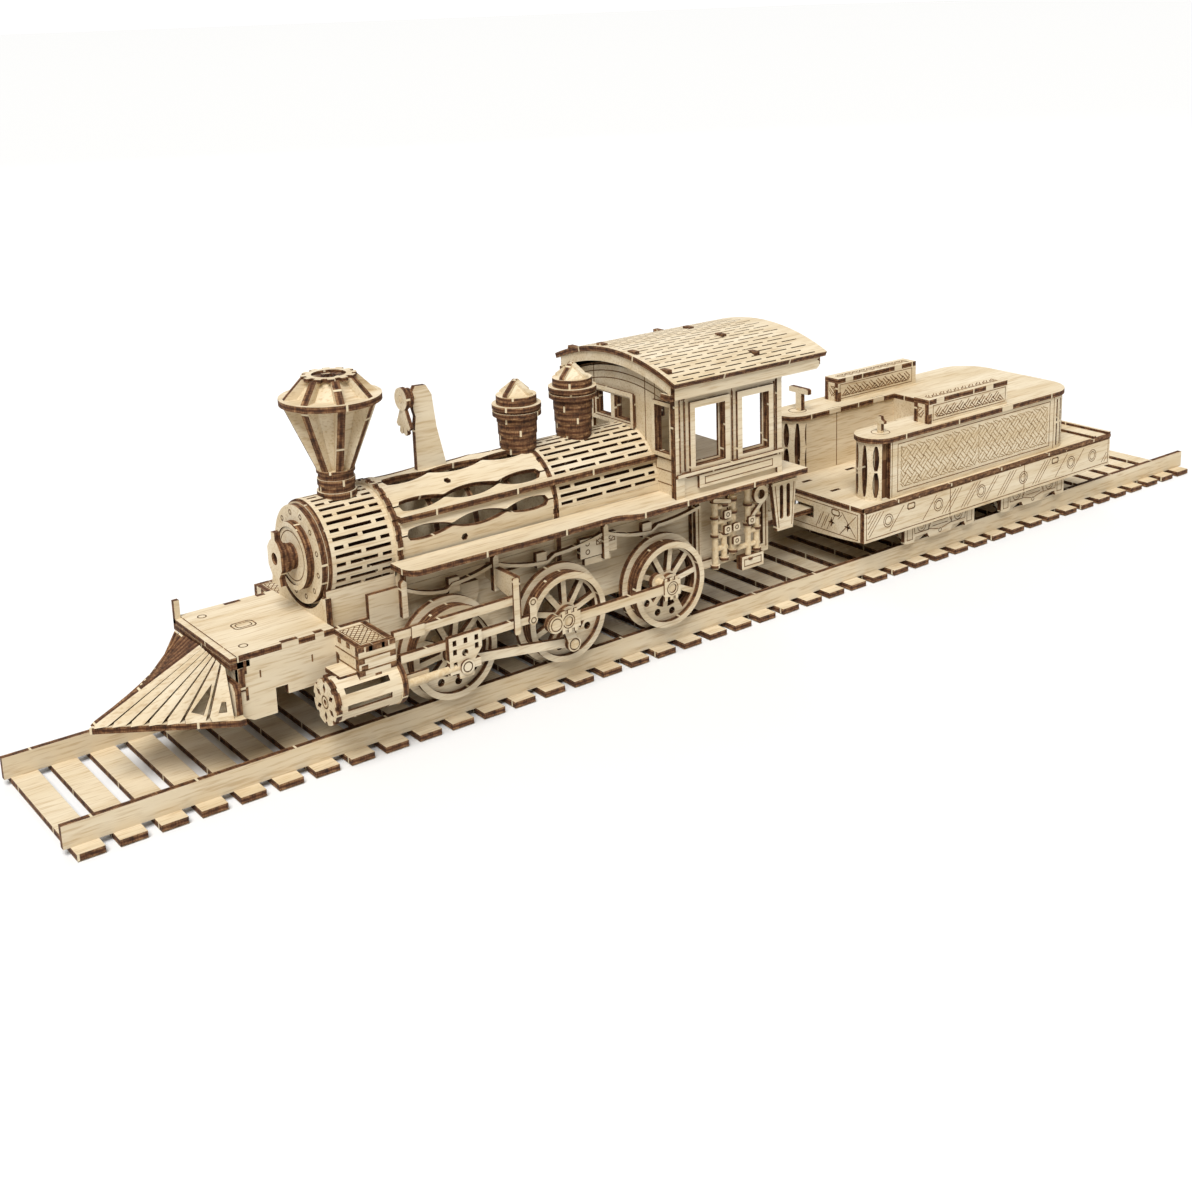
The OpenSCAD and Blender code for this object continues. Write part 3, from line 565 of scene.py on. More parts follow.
def driving_wheel(s, x, turn, weight):
    """One near driving wheel: flange ring, two tread rings, spoked plate with its counterweight, face ring
    and hub. The holes between spokes are sectors whose sides stay parallel to the spokes."""
    def at(r, a0, a1, n=8):
        return arc(x, AXLE_Z, r, a0, a1, n)

    s.plate([disc(x, AXLE_Z, 17.2, 72), disc(x, AXLE_Z, 13.2, 60)], near(24.6))
    s.plate([disc(x, AXLE_Z, 15.0, 72), disc(x, AXLE_Z, 12.6, 60)], near(26.1, 1.5))
    s.plate([disc(x, AXLE_Z, 15.45, 72), disc(x, AXLE_Z, 13.4, 60)], near(30))
    holes = []
    spokes, half, inner = 10, 0.95, 4.6
    ball_r = 10.6
    for k in range(spokes):
        a, b = turn + 36 * k, turn + 36 * (k + 1)
        mid = (a + b) / 2
        heavy = abs((mid - weight + 180) % 360 - 180) < 55
        outer = 8.4 if heavy else 12.5
        edge_out = np.degrees(np.arcsin(half / outer))
        edge_in = np.degrees(np.arcsin(half / inner))
        holes.append(np.vstack([at(outer, a + edge_out, b - edge_out),
                                at(inner, b - edge_in, a + edge_in, 5)]))
        if heavy:
            m = np.radians(mid)
            holes.append(disc(x + ball_r * np.cos(m), AXLE_Z + ball_r * np.sin(m), 1.3, 14))
    s.plate([disc(x, AXLE_Z, 15.1, 72)] + holes, near(28, 1.9))
    s.plate(disc(x, AXLE_Z, 3.9, 32), near(28.9, 0.9))
    s.outline(disc(x, AXLE_Z, 3.1, 28), near(28.9, 0), 0.3)
    s.dowel((x, -27.4, AXLE_Z), -Y, 2.0, 2.4)


class KIT_OT_track(bpy.types.Operator):
    """Lays the sleepers and stands the rails on them"""

    bl_idname = "kit.track"
    bl_label = "Track"

    def execute(self, context):
        kit = context.scene.locomotive_kit
        s = Sheets()
        first = -kit.sleepers * kit.sleeper_pitch / 2 + 2
        for k in range(kit.sleepers):
            x = first + k * kit.sleeper_pitch
            s.plate(box(x, -32, x + 8, 32), lying(0))
        s.finish("sleepers", "track", ["sleepers"])
        rail = Sheets()
        rail.plate(box(-264, 2, 264, 9), near(27))
        rail.finish("rail_near", "track", ["rail_near"])
        rail.only_far().finish("rail_far", "track", ["rail_far"])
        return {"FINISHED"}


class KIT_OT_pilot(bpy.types.Operator):
    """Cuts the pointed base plate and the fan of slats"""

    bl_idname = "kit.pilot"
    bl_label = "Pilot"

    def execute(self, context):
        s = Sheets()
        s.plate(np.array([[-245, 0], [-209, -24.5], [-207, -24.5], [-207, 24.5], [-209, 24.5]]), lying(20))
        s.finish("pilot_base", "locomotive", ["pilot_base"])
        s = Sheets()
        narrow = context.scene.locomotive_kit.slats
        ends = np.concatenate([np.linspace(0, 0.62, narrow + 1), [0.8, 1.0]])
        count = narrow + 2
        tip, corner = np.array([-244.2, 0, 22.0]), np.array([-209.5, -23.6, 22.0])
        top_mid, top_end = np.array([-209.6, 0, 37.6]), np.array([-209.6, -19.0, 36.6])
        for k in range(count):
            a, b = ends[k] + 0.004, ends[k + 1] - 0.018
            foot_a, foot_b = tip + (corner - tip) * a, tip + (corner - tip) * b
            head_a, head_b = top_mid + (top_end - top_mid) * a, top_mid + (top_end - top_mid) * b
            foot, head = (foot_a + foot_b) / 2, (head_a + head_b) / 2
            v = (head - foot) / np.linalg.norm(head - foot)
            u = foot_b - foot_a
            u = u - v * (u @ v)
            u /= np.linalg.norm(u)
            u = u * np.cos(LEAN) + np.cross(u, v) * np.sin(-LEAN)
            flat = np.array([[(p - foot) @ u, (p - foot) @ v] for p in (foot_a, foot_b, head_b, head_a)])
            outline = np.vstack([flat[:1] + (0, 1.4), flat[:1] + (0.8, 0), flat[1:]])
            loops = [outline]
            width, rise = flat[1, 0] - flat[0, 0], flat[2, 1]
            if k == count - 2:
                loops.append(np.array([[-0.34 * width, rise * 0.13], [0.3 * width, rise * 0.15],
                                       [0.24 * width, rise * 0.46], [0.1 * width, rise * 0.66]]))
            if k == count - 1:
                loops.append(np.array([[-0.16 * width, rise * 0.15], [0.2 * width, rise * 0.16],
                                       [0.14 * width, rise * 0.36], [-0.04 * width, rise * 0.36]]))
            s.plate(loops, plane(foot - np.cross(u, v) * 0.9, u, v), 1.6)
        s.mirrored().finish("pilot_slats", "locomotive", ["pilot_slats"], "burnt_edge")
        return {"FINISHED"}


class KIT_OT_front_deck(bpy.types.Operator):
    """Boxes in the front deck over its frame plates"""

    bl_idname = "kit.front_deck"
    bl_label = "Front deck"

    def execute(self, context):
        s = Sheets()
        notch = ((-192.5, -187.0), (-181.5, -178.5))
        edge = [[-207, -21]]
        for a, b in notch:
            edge += [[a, -21], [a, -19], [b, -19], [b, -21]]
        edge += [[-175, -21]]
        edge = np.array(edge, float)
        s.plate(np.vstack([edge, edge[::-1] * (1, -1)]), lying(38.4))
        s.plate(box(-209, -21, -206.8, 21), lying(38.4), 1.6)
        s.plate(box(-209, -21, -203, 21), lying(36.3))
        s.outline(rounded(-198.5, -2.6, -191.5, 2.6, 1.5), lying(40.4), 0.4)
        s.outline(rounded(-197.4, -1.6, -192.6, 1.6, 1.0), lying(40.4), 0.3)
        for y in (-15.0, 15.0):
            s.outline(disc(-202, y, 1.3, 16), lying(40.4), 0.35)
        s.plate(box(-209, 38.3, -207.2, 46), plane((0, 21, 0), X, Z), 1.8)
        s.finish("front_deck", "locomotive", ["front_deck"])
        s = Sheets()
        side = np.array([[-207, 21], [-203, 19], [-195.5, 19], [-195.5, 27], [-191.5, 27], [-191.5, 24],
                         [-175, 24], [-175, 38.4], [-178.5, 38.4], [-178.5, 40.35], [-181.5, 40.35],
                         [-181.5, 38.4], [-187, 38.4], [-187, 40.35], [-192.5, 40.35], [-192.5, 38.4],
                         [-207, 38.4]])
        s.plate(side, near(21))
        s.lines([[[-200, 32], [-200, 33.8]], [[-183, 32], [-183, 33.8]]], near(21, 0), 0.5)
        fingers(s, near(21, 0), -204.6, 21.5, 38.4, 4.2, 0.9, 1)
        s.mirrored()
        s.plate(np.array([[-22.4, 20], [0, 20], [22.4, 20], [22.4, 30], [21, 32], [-21, 32], [-22.4, 30]]),
                to_front(-209))
        s.plate(box(-21.3, 29, 21.3, 36.2), to_front(-207))
        s.finish("front_frame", "locomotive", ["front_frame"])
        return {"FINISHED"}


class KIT_OT_saddle(bpy.types.Operator):
    """Stands the saddle box that carries the smokebox, and the steam chests beside it"""

    bl_idname = "kit.saddle"
    bl_label = "Saddle and steam chests"

    def execute(self, context):
        s = Sheets()
        s.plate(box(-174, 24, -149.4, 50), near(15.2))
        s.plate(box(-173, 36.5, -151, 38.2), near(17.4, 2.2))
        s.mirrored()
        s.plate(np.vstack([[[-16.4, 24]], [[16.4, 24]], [[16.4, 48]], arc(0, BOILER_Z, 17.4, -38, -142, 12),
                           [[-16.4, 48]]]), to_front(-175))
        s.finish("saddle", "locomotive", ["saddle"])
        s = Sheets()
        x0, x1, y0, y1, z0, z1 = -175.0, -162.4, 17.4, 35.5, 27.2, 38.2
        s.plate(box(x0, z0, x1, z1), near(y1))
        s.plate(box(y0, z0, y1 - 2, z1), to_front(x0))
        s.plate(box(y0, z0, y1 - 2, z1), to_front(x1 - 2))
        s.plate(box(x0 + 2, -y1 + 2, x1 - 2, -y0), lying(z1 - 2))
        outer, front, top = near(y1, 0), to_front(x0, 0), lying(z1 - 0.02)
        for place, a, b in ((outer, x0, x1), (front, y0, y1)):
            s.lines([[[a + 0.3, z], [b - 0.3, z]] for z in (z0 + 3.6, z0 + 7.4)], place, 0.5)
            mid = (a + b) / 2
            s.lines([[[c - 1.1, z], [c + 1.1, z]] for c, z in ((mid - 2.6, z1 - 0.9), (mid + 2.8, z1 - 0.9),
                                                               (mid, z0 + 0.9), (mid - 4.4, z0 + 4.4))],
                    place, 1.7, EDGE, caps=False)
        fingers(s, outer, x0 + 1, z0, z1, 1.9, 2.0, 1)
        fingers(s, outer, x1 - 1, z0, z1, 1.9, 2.0, 1)
        fingers(s, front, y1 - 1, z0, z1, 1.9, 2.0, 0)
        fingers(s, front, y0 + 4, z0 + 1.8, z1 - 2, 3.8, 2.2, 0)
        s.lines([[[a, -y1 + 0.9], [a + 3, -y1 + 0.9]] for a in (x0 + 2, x1 - 5)],
                lying(z1), 1.8, EDGE, caps=False)
        s.lines([[[x0 + 3.6, z1 - 0.9], [x1 - 3.6, z1 - 0.9]]], outer, 1.8, EDGE, caps=False)
        s.lines(hatch(x0 + 2.6, -y1 + 3, x1 - 2.6, -y0 - 2.5, 1.9, 1.2), lying(z1), 0.3)
        s.lines(hatch(x0 + 2.6, -y1 + 3, x1 - 2.6, -y0 - 2.5, 1.9, -1.2), lying(z1), 0.3)
        s.outline(box(x0 + 2.4, -y1 + 2.6, x1 - 2.4, -y0 - 2), lying(z1), 0.35)
        s.mirrored().finish("steam_chests", "locomotive", ["steam_chests"])
        return {"FINISHED"}


class KIT_OT_cylinders(bpy.types.Operator):
    """Builds the slatted cylinders with their pierced front covers"""

    bl_idname = "kit.cylinders"
    bl_label = "Cylinders"

    def execute(self, context):
        s = Sheets()
        x0, x1, cy, cz, strips = -183.2, -162.4, CYLINDER_Y, CROSSHEAD[1], 8
        r, t = 6.15, 0.75
        arc_len = 2 * np.pi * r
        step = arc_len / strips
        vs = np.concatenate([[k * step, (k + 1) * step - 1.7] for k in range(strips)] + [[arc_len]])
        us = np.array([x0, x0 + 2.2, x1 - 3.6, x1])
        solid = np.ones((3, len(vs) - 1), bool)
        solid[1, 1::2] = False
        s.slit_sheet(us, vs, solid, around(cz, r, -cy), t)
        tooth = []
        for k in range(8):
            a = 45 * k + 22.5
            tooth += [arc(cy, cz, 7.2, a - 15, a + 15, 4), arc(cy, cz, 6.3, a + 18, a + 27, 2)]
        diamonds = []
        for k in range(6):
            a = np.radians(60 * k + 30)
            c = np.array([cy, cz]) + 4.4 * np.array([np.cos(a), np.sin(a)])
            along, side = np.array([np.cos(a), np.sin(a)]), np.array([-np.sin(a), np.cos(a)])
            diamonds.append(np.array([c + along * 1.6, c + side * 0.9, c - along * 1.6, c - side * 0.9]))
        s.plate([np.vstack(tooth)] + diamonds + [disc(cy, cz, 0.9, 12)], to_front(-185))
        s.outline(disc(cy, cz, 1.9, 16), to_front(-185, 0), 0.4)
        # The burnt-brown disc behind the pierced cover is painted shade: it is seen through the cover's holes,
        # where the cylinder's inside lies in shade
        s.plate(disc(cy, cz, 4.6, 24), to_front(-182.4, 1.2), 1.2, face=EDGE)
        s.plate([disc(cy, cz, 7.2, 40), disc(36.4, cz, 1.5, 16)], to_front(-162.4, 1.9), 1.9)
        s.plate(box(-180, 17, -164, 26.4), plane((0, -17.6, 0), X, Z), 10)
        s.plate(box(-180.5, -33.5, -175, -24), lying(28.6), 1.6)
        s.mirrored().finish("cylinders", "locomotive", ["cylinders"], "burnt_edge")
        return {"FINISHED"}


class KIT_OT_running_gear(bpy.types.Operator):
    """Makes the three pairs of driving wheels with their axles, crank pins and return cranks"""

    bl_idname = "kit.running_gear"
    bl_label = "Driving wheels"

    def execute(self, context):
        for name, x, turn, weight in zip(("front", "mid", "rear"), AXLE_XS, (8, 20, 10), (-80, -75, -100)):
            s = Sheets()
            driving_wheel(s, x, turn, weight)
            if name != "front":
                pin = np.array(SIDE_PIN if name == "rear" else MAIN_PIN)
                s.plate(bar((x, AXLE_Z), np.array((x, AXLE_Z)) + pin, 3.4, 2.9), near(30, 2.1), 2.1)
                # A thin cap covers the hub, where the peg and the crank plate meet
                s.plate(disc(x, AXLE_Z, 2.9, 28), near(30.4, 0.3), 0.3)
                end = 37.2 if name == "rear" else 35.2
                s.dowel((x + pin[0], -28, AXLE_Z + pin[1]), -Y, 1.5, end - 28)
            if name == "mid":
                a = np.array((x, AXLE_Z)) + MAIN_PIN
                b = np.array((x, AXLE_Z)) + SIDE_PIN
                s.plate(bar(a, b, 3.6, 2.6), near(34.8))
                s.outline(disc(*a, 1.9, 18), near(34.8, 0), 0.35)
                s.dowel((b[0], -33, b[1]), -Y, 1.5, 4.2)
            s.mirrored().finish(f"{name}_wheels", f"{name}_driver", [f"{name}_wheels"])
            s = Sheets()
            s.dowel((x, 26.9, AXLE_Z), -Y, 2.0, 53.8, 32)
            s.finish(f"{name}_axle", f"{name}_driver", [f"{name}_axle"], "dowel")
        return {"FINISHED"}


class KIT_OT_rods(bpy.types.Operator):
    """Cuts the side rods, the main rods and the crossheads with their piston rods"""

    bl_idname = "kit.rods"
    bl_label = "Rods and crossheads"

    def execute(self, context):
        a = np.array((AXLE_XS[1], AXLE_Z)) + SIDE_PIN
        b = np.array((AXLE_XS[2], AXLE_Z)) + SIDE_PIN
        s = Sheets()
        s.plate([bar(a - (5, 0), b, 3.0, 3.1), disc(*a, 1.57, 20), disc(*b, 1.57, 20)], near(37))
        s.plate([disc(*(a - (5, 0)), 2.9, 28)], near(37.7, 0.7), 0.7)
        s.plate([castle(a[0] + 1, a[1], 7.4, 5.4), disc(*a, 1.7, 20)], near(37.6, 0.6), 0.6)
        s.plate([castle(b[0], b[1], 7.0, 5.6), disc(*b, 1.7, 20)], near(37.6, 0.6), 0.6)
        for p, r in ((a - (5, 0), 2.1), (a, 2.3), (b, 2.3)):
            s.outline(disc(*p, r, 22), near(37.7 if p is not a and p is not b else 37.6, 0), 0.3)
        s.finish("side_rod_near", "side_rod_near", ["side_rod_near"])
        s.only_far().finish("side_rod_far", "side_rod_far", ["side_rod_far"])
        front = np.array(CROSSHEAD)
        back = np.array((AXLE_XS[1], AXLE_Z)) + MAIN_PIN
        s = Sheets()
        s.plate([bar(front, back, 3.0, 2.6), disc(*back, 1.57, 20)], near(32.6, 1.8), 1.8)
        s.finish("main_rod_near", "main_rod_near", ["main_rod_near"])
        s.only_far().finish("main_rod_far", "main_rod_far", ["main_rod_far"])
        x, z = CROSSHEAD
        block = np.array([[x - 6, z + 3], [x - 6, z - 1.6], [x - 2.8, z - 1.6], [x - 2.6, z - 3.6],
                          [x + 2.6, z - 3.6], [x + 2.8, z - 1.2], [x + 5.4, z - 1.2], [x + 5.4, z + 1.6],
                          [x + 3.2, z + 1.6], [x + 6, z + 5], [x + 6, z + 10.6], [x - 6, z + 10.6]])
        squares = [box(x + dx - 0.7, z + dz - 0.9, x + dx + 0.7, z + dz + 0.9)
                   for dx, dz in ((-4, 8.6), (-4, 5.6), (-4, 1.4), (0, 8.6), (4, 8.6), (4, 5.9))]
        s = Sheets()
        s.plate([block] + squares + [disc(x - 0.3, z + 4.6, 1.2, 10)], near(37.4))
        s.plate(disc(x, z, 2.4, 26), near(38.2, 0.8), 0.8)
        s.outline(disc(x, z, 1.6, 20), near(38.2, 0), 0.35)
        s.dowel((x + 1.5, -36.4, z), -X, 1.2, 38.0)
        s.finish("crosshead_near", "crosshead_near", ["crosshead_near"])
        s.only_far().finish("crosshead_far", "crosshead_far", ["crosshead_far"])
        return {"FINISHED"}


class KIT_OT_motion(bpy.types.Operator):
    """Hangs the slide bars, the yoke and the small link"""

    bl_idname = "kit.motion"
    bl_label = "Slide bars"

    def execute(self, context):
        s = Sheets()
        s.plate(box(-160.5, 29, -110.5, 31.5), near(35))
        s.plate(box(-162.4, 37, -118, 39.5), near(35))
        s.plate(box(-156.5, 36.4, -152.0, 40.1), near(35.6, 0.6), 0.6)
        s.plate(rounded(-119.2, 26.8, -117, 46, 0.6), near(35.7, 0.7), 0.7)
        s.plate(bar((-112, 30.2), (-112, 36.4), 2.6, 1.6), near(35.9, 0.9), 0.9)
        for z in (30.2, 36.4):
            s.outline(disc(-112, z, 0.9, 14), near(35.9, 0), 0.3)
        yoke = np.array([[17.6, 46], [17.6, 41.4], [30.8, 38.3], [33, 38.3], [33, 31.5], [35, 31.5],
                         [35, 46]])
        s.plate(yoke, to_front(-118))
        s.plate(box(-160.5, 20.2, -151, 24.6), near(34.9, 1.2), 1.2)
        s.mirrored().finish("motion_brackets", "locomotive", ["motion_brackets"])
        return {"FINISHED"}


class KIT_OT_smokebox(bpy.types.Operator):
    """Wraps the smokebox and sets its stepped front"""

    bl_idname = "kit.smokebox"
    bl_label = "Smokebox"

    def execute(self, context):
        s = Sheets()
        steps = ((-175, 2, 15.8), (-173, 2.4, 16.3), (-177, 2, 10.9), (-179, 2, 4.2), (-181, 2, 4.6))
        for x, t, r in steps:
            s.plate(disc(0, BOILER_Z, r, 72), to_front(x, t), t)
        s.plate([disc(0, BOILER_Z, 10.9, 60), disc(0, BOILER_Z, 9.4, 60)], to_front(-177.5, 0.6), 0.6)
        front = to_front(-175, 0)
        for k in range(12):
            a = np.radians(30 * k + 15)
            s.outline(disc(13.4 * np.cos(a), BOILER_Z + 13.4 * np.sin(a), 0.75, 10), front, 0.3)
        s.outline(disc(0, BOILER_Z, 8.0, 48), to_front(-177, 0), 0.3)
        z = BOILER_Z
        lantern = np.array([[-3, z - 8], [3, z - 8], [2.4, z - 5.4], [4.6, z - 2.4], [4.6, z + 3.4], [2.4, z + 6],
                            [1.2, z + 6.6], [1.2, z + 9], [-1.2, z + 9], [-1.2, z + 6.6], [-2.4, z + 6],
                            [-4.6, z + 3.4], [-4.6, z - 2.4], [-2.4, z - 5.4]])
        s.plate([lantern, disc(0, z + 0.4, 2.0, 20)], to_front(-183, 2))
        s.finish("smokebox_front", "locomotive", ["smokebox_front"])
        s = Sheets()
        two, three = ((1.4, 10.2), (11.8, 20.6)), ((1.4, 4.6), (6.2, 15.8), (17.4, 20.6))
        # A solid plug behind the slits keeps light from showing through them. Its burnt-brown rim, seen through
        # the slits, is painted shade for the dark hollow inside.
        s.plate(disc(0, BOILER_Z, 14.4, 60), to_front(-171, 20), 20)
        us, vs, solid = dashes(22.0, 31, 2.4, 1.0, (two, three), -37.2)
        s.slit_sheet(us - 172, vs, solid, around(BOILER_Z, 15.1), 1.9)
        s.finish("smokebox_wrap", "locomotive", ["smokebox_wrap"], "scored_ply")
        return {"FINISHED"}


class KIT_OT_boiler(bpy.types.Operator):
    """Rings, open staves, the slit rear wrap and the boards along the boiler's sides"""

    bl_idname = "kit.boiler"
    bl_label = "Boiler"

    def execute(self, context):
        s = Sheets()
        for x, r in ((-150, 18.6), (-90, 18.25)):
            teeth = []
            for k in range(24):
                teeth += [arc(0, BOILER_Z, r, 15 * k, 15 * k + 9, 4),
                          arc(0, BOILER_Z, r - 0.6, 15 * k + 9, 15 * k + 15, 2)]
            s.plate([np.vstack(teeth), disc(0, BOILER_Z, 12.5, 48)], to_front(x))
            for side in (-1, 1):
                s.plate(box(side * 17.2 - 1.6, 40, side * 17.2 + 1.6, 53), to_front(x))
        s.finish("boiler_rings", "locomotive", ["boiler_rings"])

        s = Sheets()
        x0, x1 = -148.0, -90.0
        t = np.linspace(0, 1, 61)
        for angle, width in ((0, 22), (30, 35), (63, 30), (95, 33), (130, 34), (165, 34),
                             (-30, 35), (-63, 30), (-95, 33), (-130, 34), (-165, 34)):
            half = np.pi * BOILER_R * width / 360
            scallop = half - 0.3 - 1.95 * np.abs(np.sin(3 * np.pi * (t * 0.94 + 0.03))) ** 0.8
            scallop[(t < 0.05) | (t > 0.95)] = half - 0.15
            xs = x0 + t * (x1 - x0)
            outline = np.vstack([np.stack([xs, -scallop], 1), np.stack([xs, scallop], 1)[::-1]])
            a = np.radians(angle)
            n = np.array([0, -np.sin(a), np.cos(a)])
            v = np.array([0, np.cos(a), np.sin(a)])
            loops = [outline]
            if abs(angle) in (30, 95):
                loops.append(disc(x0 + 23, 0, 1.3, 6))
            r = BOILER_R * np.cos(np.radians(width / 2)) - 1.6
            s.plate(loops, plane(np.array([0, 0, BOILER_Z]) + n * r, X, v), 1.9)
        for x in (-134, -119, -104):
            s.plate(disc(0, BOILER_Z, 14.4, 40), to_back(x))
        s.finish("boiler_lattice", "locomotive", ["boiler_lattice"], "scored_ply")

        s = Sheets()
        first = ((1.2, 12.2), (13.8, 24.8), (26.4, 37.4), (39.0, 41.8))
        second = ((1.2, 5.9), (7.5, 18.5), (20.1, 31.1), (32.7, 41.8))
        s.plate(box(-88, 53.2, -45, 57.6), near(18.3, 1.0), 1.0)
        s.plate(box(-148, -18.2, -45, -14.2), lying(66.6))
        s.mirrored()
        # A solid plug, as in the smokebox: it keeps light from showing through the slits, and its burnt-brown rim
        # seen through them is painted shade.
        s.plate(disc(0, BOILER_Z, 15.4, 60), to_front(-87, 41), 41)
        us, vs, solid = dashes(43.0, 24, 2.35, 0.95, (first, second), -28.2)
        s.slit_sheet(us - 88, vs, solid, around(BOILER_Z, 16.3), 1.9)
        s.finish("boiler_wrap", "locomotive", ["boiler_wrap"], "scored_ply")
        return {"FINISHED"}


class KIT_OT_chimney(bpy.types.Operator):
    """Glues up the balloon stack: discs, fins and slanting panels in two cones"""

    bl_idname = "kit.chimney"
    bl_label = "Chimney"

    def execute(self, context):
        kit = context.scene.locomotive_kit
        s = Sheets()
        cx = -160.0
        z = stack(s, cx, 0, 74.6, ((6.3, 2), (5.7, 2), (6.0, 2), (5.6, 2), (6.1, 1)))
        s.plate(disc(cx, 0, 16, 72), lying(105))
        crown = []
        for k in range(12):
            crown += [arc(cx, 0, 8.6, 30 * k, 30 * k + 16, 4), arc(cx, 0, 7.2, 30 * k + 17, 30 * k + 29, 3)]
        s.plate([np.vstack(crown), disc(cx, 0, 5.4, 24)], lying(112.5), 1.2)
        count = kit.chimney_fins
        cones = ((z, 105.0, 5.9, 15.0, 1.6, 4.6), (107.0, 113.0, 14.6, 8.8, 3.6, 2.6))
        for z0, z1, r0, r1, deep0, deep1 in cones:
            for k in range(count):
                a = 2 * np.pi * k / count + np.radians(30)
                out, side = heading(a)
                fin = np.array([[1.5, z0], [r0, z0], [r1, z1], [1.5, z1]])
                s.plate(fin, plane(np.array([cx, 0, 0]) + side * FIN / 2, out, Z), FIN)
                b = a + np.pi / count
                flat0, flat1 = (r0 - deep0) * np.cos(np.pi / count), (r1 - deep1) * np.cos(np.pi / count)
                half0 = (r0 - deep0) * np.sin(np.pi / count) - FIN / 2
                half1 = (r1 - deep1) * np.sin(np.pi / count) - FIN / 2
                away, across = heading(b)
                foot = np.array([cx, 0, z0]) + away * flat0
                head = np.array([cx, 0, z1]) + away * flat1
                rise = np.linalg.norm(head - foot)
                panel = np.array([[-half0, 0], [half0, 0], [half1, rise], [-half1, rise]])
                up = (head - foot) / rise
                s.plate(panel, plane(foot - np.cross(across, up) * 1.4, across, up), 1.4)
        s.finish("chimney", "locomotive", ["chimney"], "burnt_edge")
        return {"FINISHED"}


class KIT_OT_domes(bpy.types.Operator):
    """Stacks the discs of the two domes under their crossed caps"""

    bl_idname = "kit.domes"
    bl_label = "Domes"

    def execute(self, context):
        for name, cx, low, ring in (("front_dome", -91.0, 75.2, 90.0), ("rear_dome", -67.5, 75.2, 92.0)):
            s = Sheets()
            s.plate(disc(cx, 0, 5.0, 32), lying(low - 1.4), 1.4)
            rows = int(round((ring - 2 - low) / 2))
            rs = 6.1 + 0.9 * (np.arange(rows) / rows) + 0.12 * (np.arange(rows) % 2)
            z = stack(s, cx, 0, low, [(r, (ring - 2 - low) / rows) for r in rs])
            z = stack(s, cx, 0, z, ((8.3, 1.6), (7.7, 0.8), (8.4, 1.6), (6.9, 1.9), (6.9, 1.1)))
            for turn in (20, 110):
                a = np.radians(turn)
                out, side = heading(a)
                cap = np.vstack([[[-6.4, z], [6.4, z], [6.2, z + 0.8]], arc(0, z + 3.9, 1.2, 50, 130, 5),
                                 [[-6.2, z + 0.8]]])
                s.plate(cap, plane(np.array([cx, 0, 0]) + side * PLY / 2, out, Z),
                        edge=EDGE if turn < 90 else FACE)
            for k in range(4):
                b = np.radians(20 + 45 + 90 * k)
                away, across = heading(b)
                foot, head = np.array([cx, 0, z]) + away * 4.6, np.array([cx, 0, z + 4.4]) + away * 0.5
                up = (head - foot) / np.linalg.norm(head - foot)
                rise = np.linalg.norm(head - foot)
                panel = np.array([[-4.4, 0], [4.4, 0], [0.4, rise], [-0.4, rise]])
                s.plate(panel, plane(foot - np.cross(across, up) * 1.0, across, up), 1.0)
            s.finish(name, "locomotive", [name], "burnt_edge")
        return {"FINISHED"}


class KIT_OT_bell(bpy.types.Operator):
    """Cuts the leaning bell bracket and the bell that swings on it"""

    bl_idname = "kit.bell"
    bl_label = "Bell"

    def execute(self, context):
        s = Sheets()
        outline = np.array([[-131.2, 74], [-119.6, 74], [-121.4, 82], [-123.2, 90], [-124.4, 101], [-126.4, 104.4],
                            [-130.4, 104.6], [-131.6, 102.6], [-131.4, 97], [-130.7, 94.5], [-131.2, 91]])
        s.plate(outline, plane((0, 1, 0), X, Z))
        s.dowel((-135.5, 0, 101), X, 1.2, 5)
        s.finish("bell_bracket", "locomotive", ["bell_bracket"])
        s = Sheets()
        s.plate([disc(0, 101, 3.8, 28), disc(0, 101, 1.3, 16)], to_front(-135.4, 1.5), 1.5)
        s.plate([disc(0, 101, 3.3, 28), disc(0, 101, 1.3, 16)], to_front(-133.9, 1.7), 1.7)
        for turn, length in ((-24, 10.6), (-8, 12), (8, 12), (24, 10.6)):
            a = np.radians(turn)
            down, side = np.array([0, np.sin(a), -np.cos(a)]), np.array([0, np.cos(a), np.sin(a)])
            slat = np.array([[2.2, -0.6], [length - 0.6, -1.1], [length, 0], [length - 0.6, 1.1], [2.2, 0.6]])
            s.plate(slat, plane(np.array([-134.9 + 0.02 * turn, 0, 101]), down, side), 1.3)
        s.finish("bell", "bell", ["bell"], "burnt_edge")
        return {"FINISHED"}


class KIT_OT_boards(bpy.types.Operator):
    """Lays the running boards and the cab floor"""

    bl_idname = "kit.boards"
    bl_label = "Running boards"

    def execute(self, context):
        s = Sheets()
        swell = np.linspace(0, 1, 14)
        outer = np.stack([-74 + 10 * swell, -30 - 4 * (3 * swell**2 - 2 * swell**3)], 1)
        outline = np.vstack([arc(-148, -25, 5, 180, 270, 8), [[-113, -30], [-112, -30.4]], outer,
                             [[-45, -34], [-45, -18.5], [-153, -18.5]]])
        s.plate(outline, lying(BOARD_Z))
        s.mirrored().finish("running_boards", "locomotive", ["running_boards"])
        s = Sheets()
        s.plate(np.array([[-45, -34], [12.5, -34], [12.5, 34], [-45, 34]]), lying(BOARD_Z))
        s.finish("cab_floor", "locomotive", ["cab_floor"])
        return {"FINISHED"}


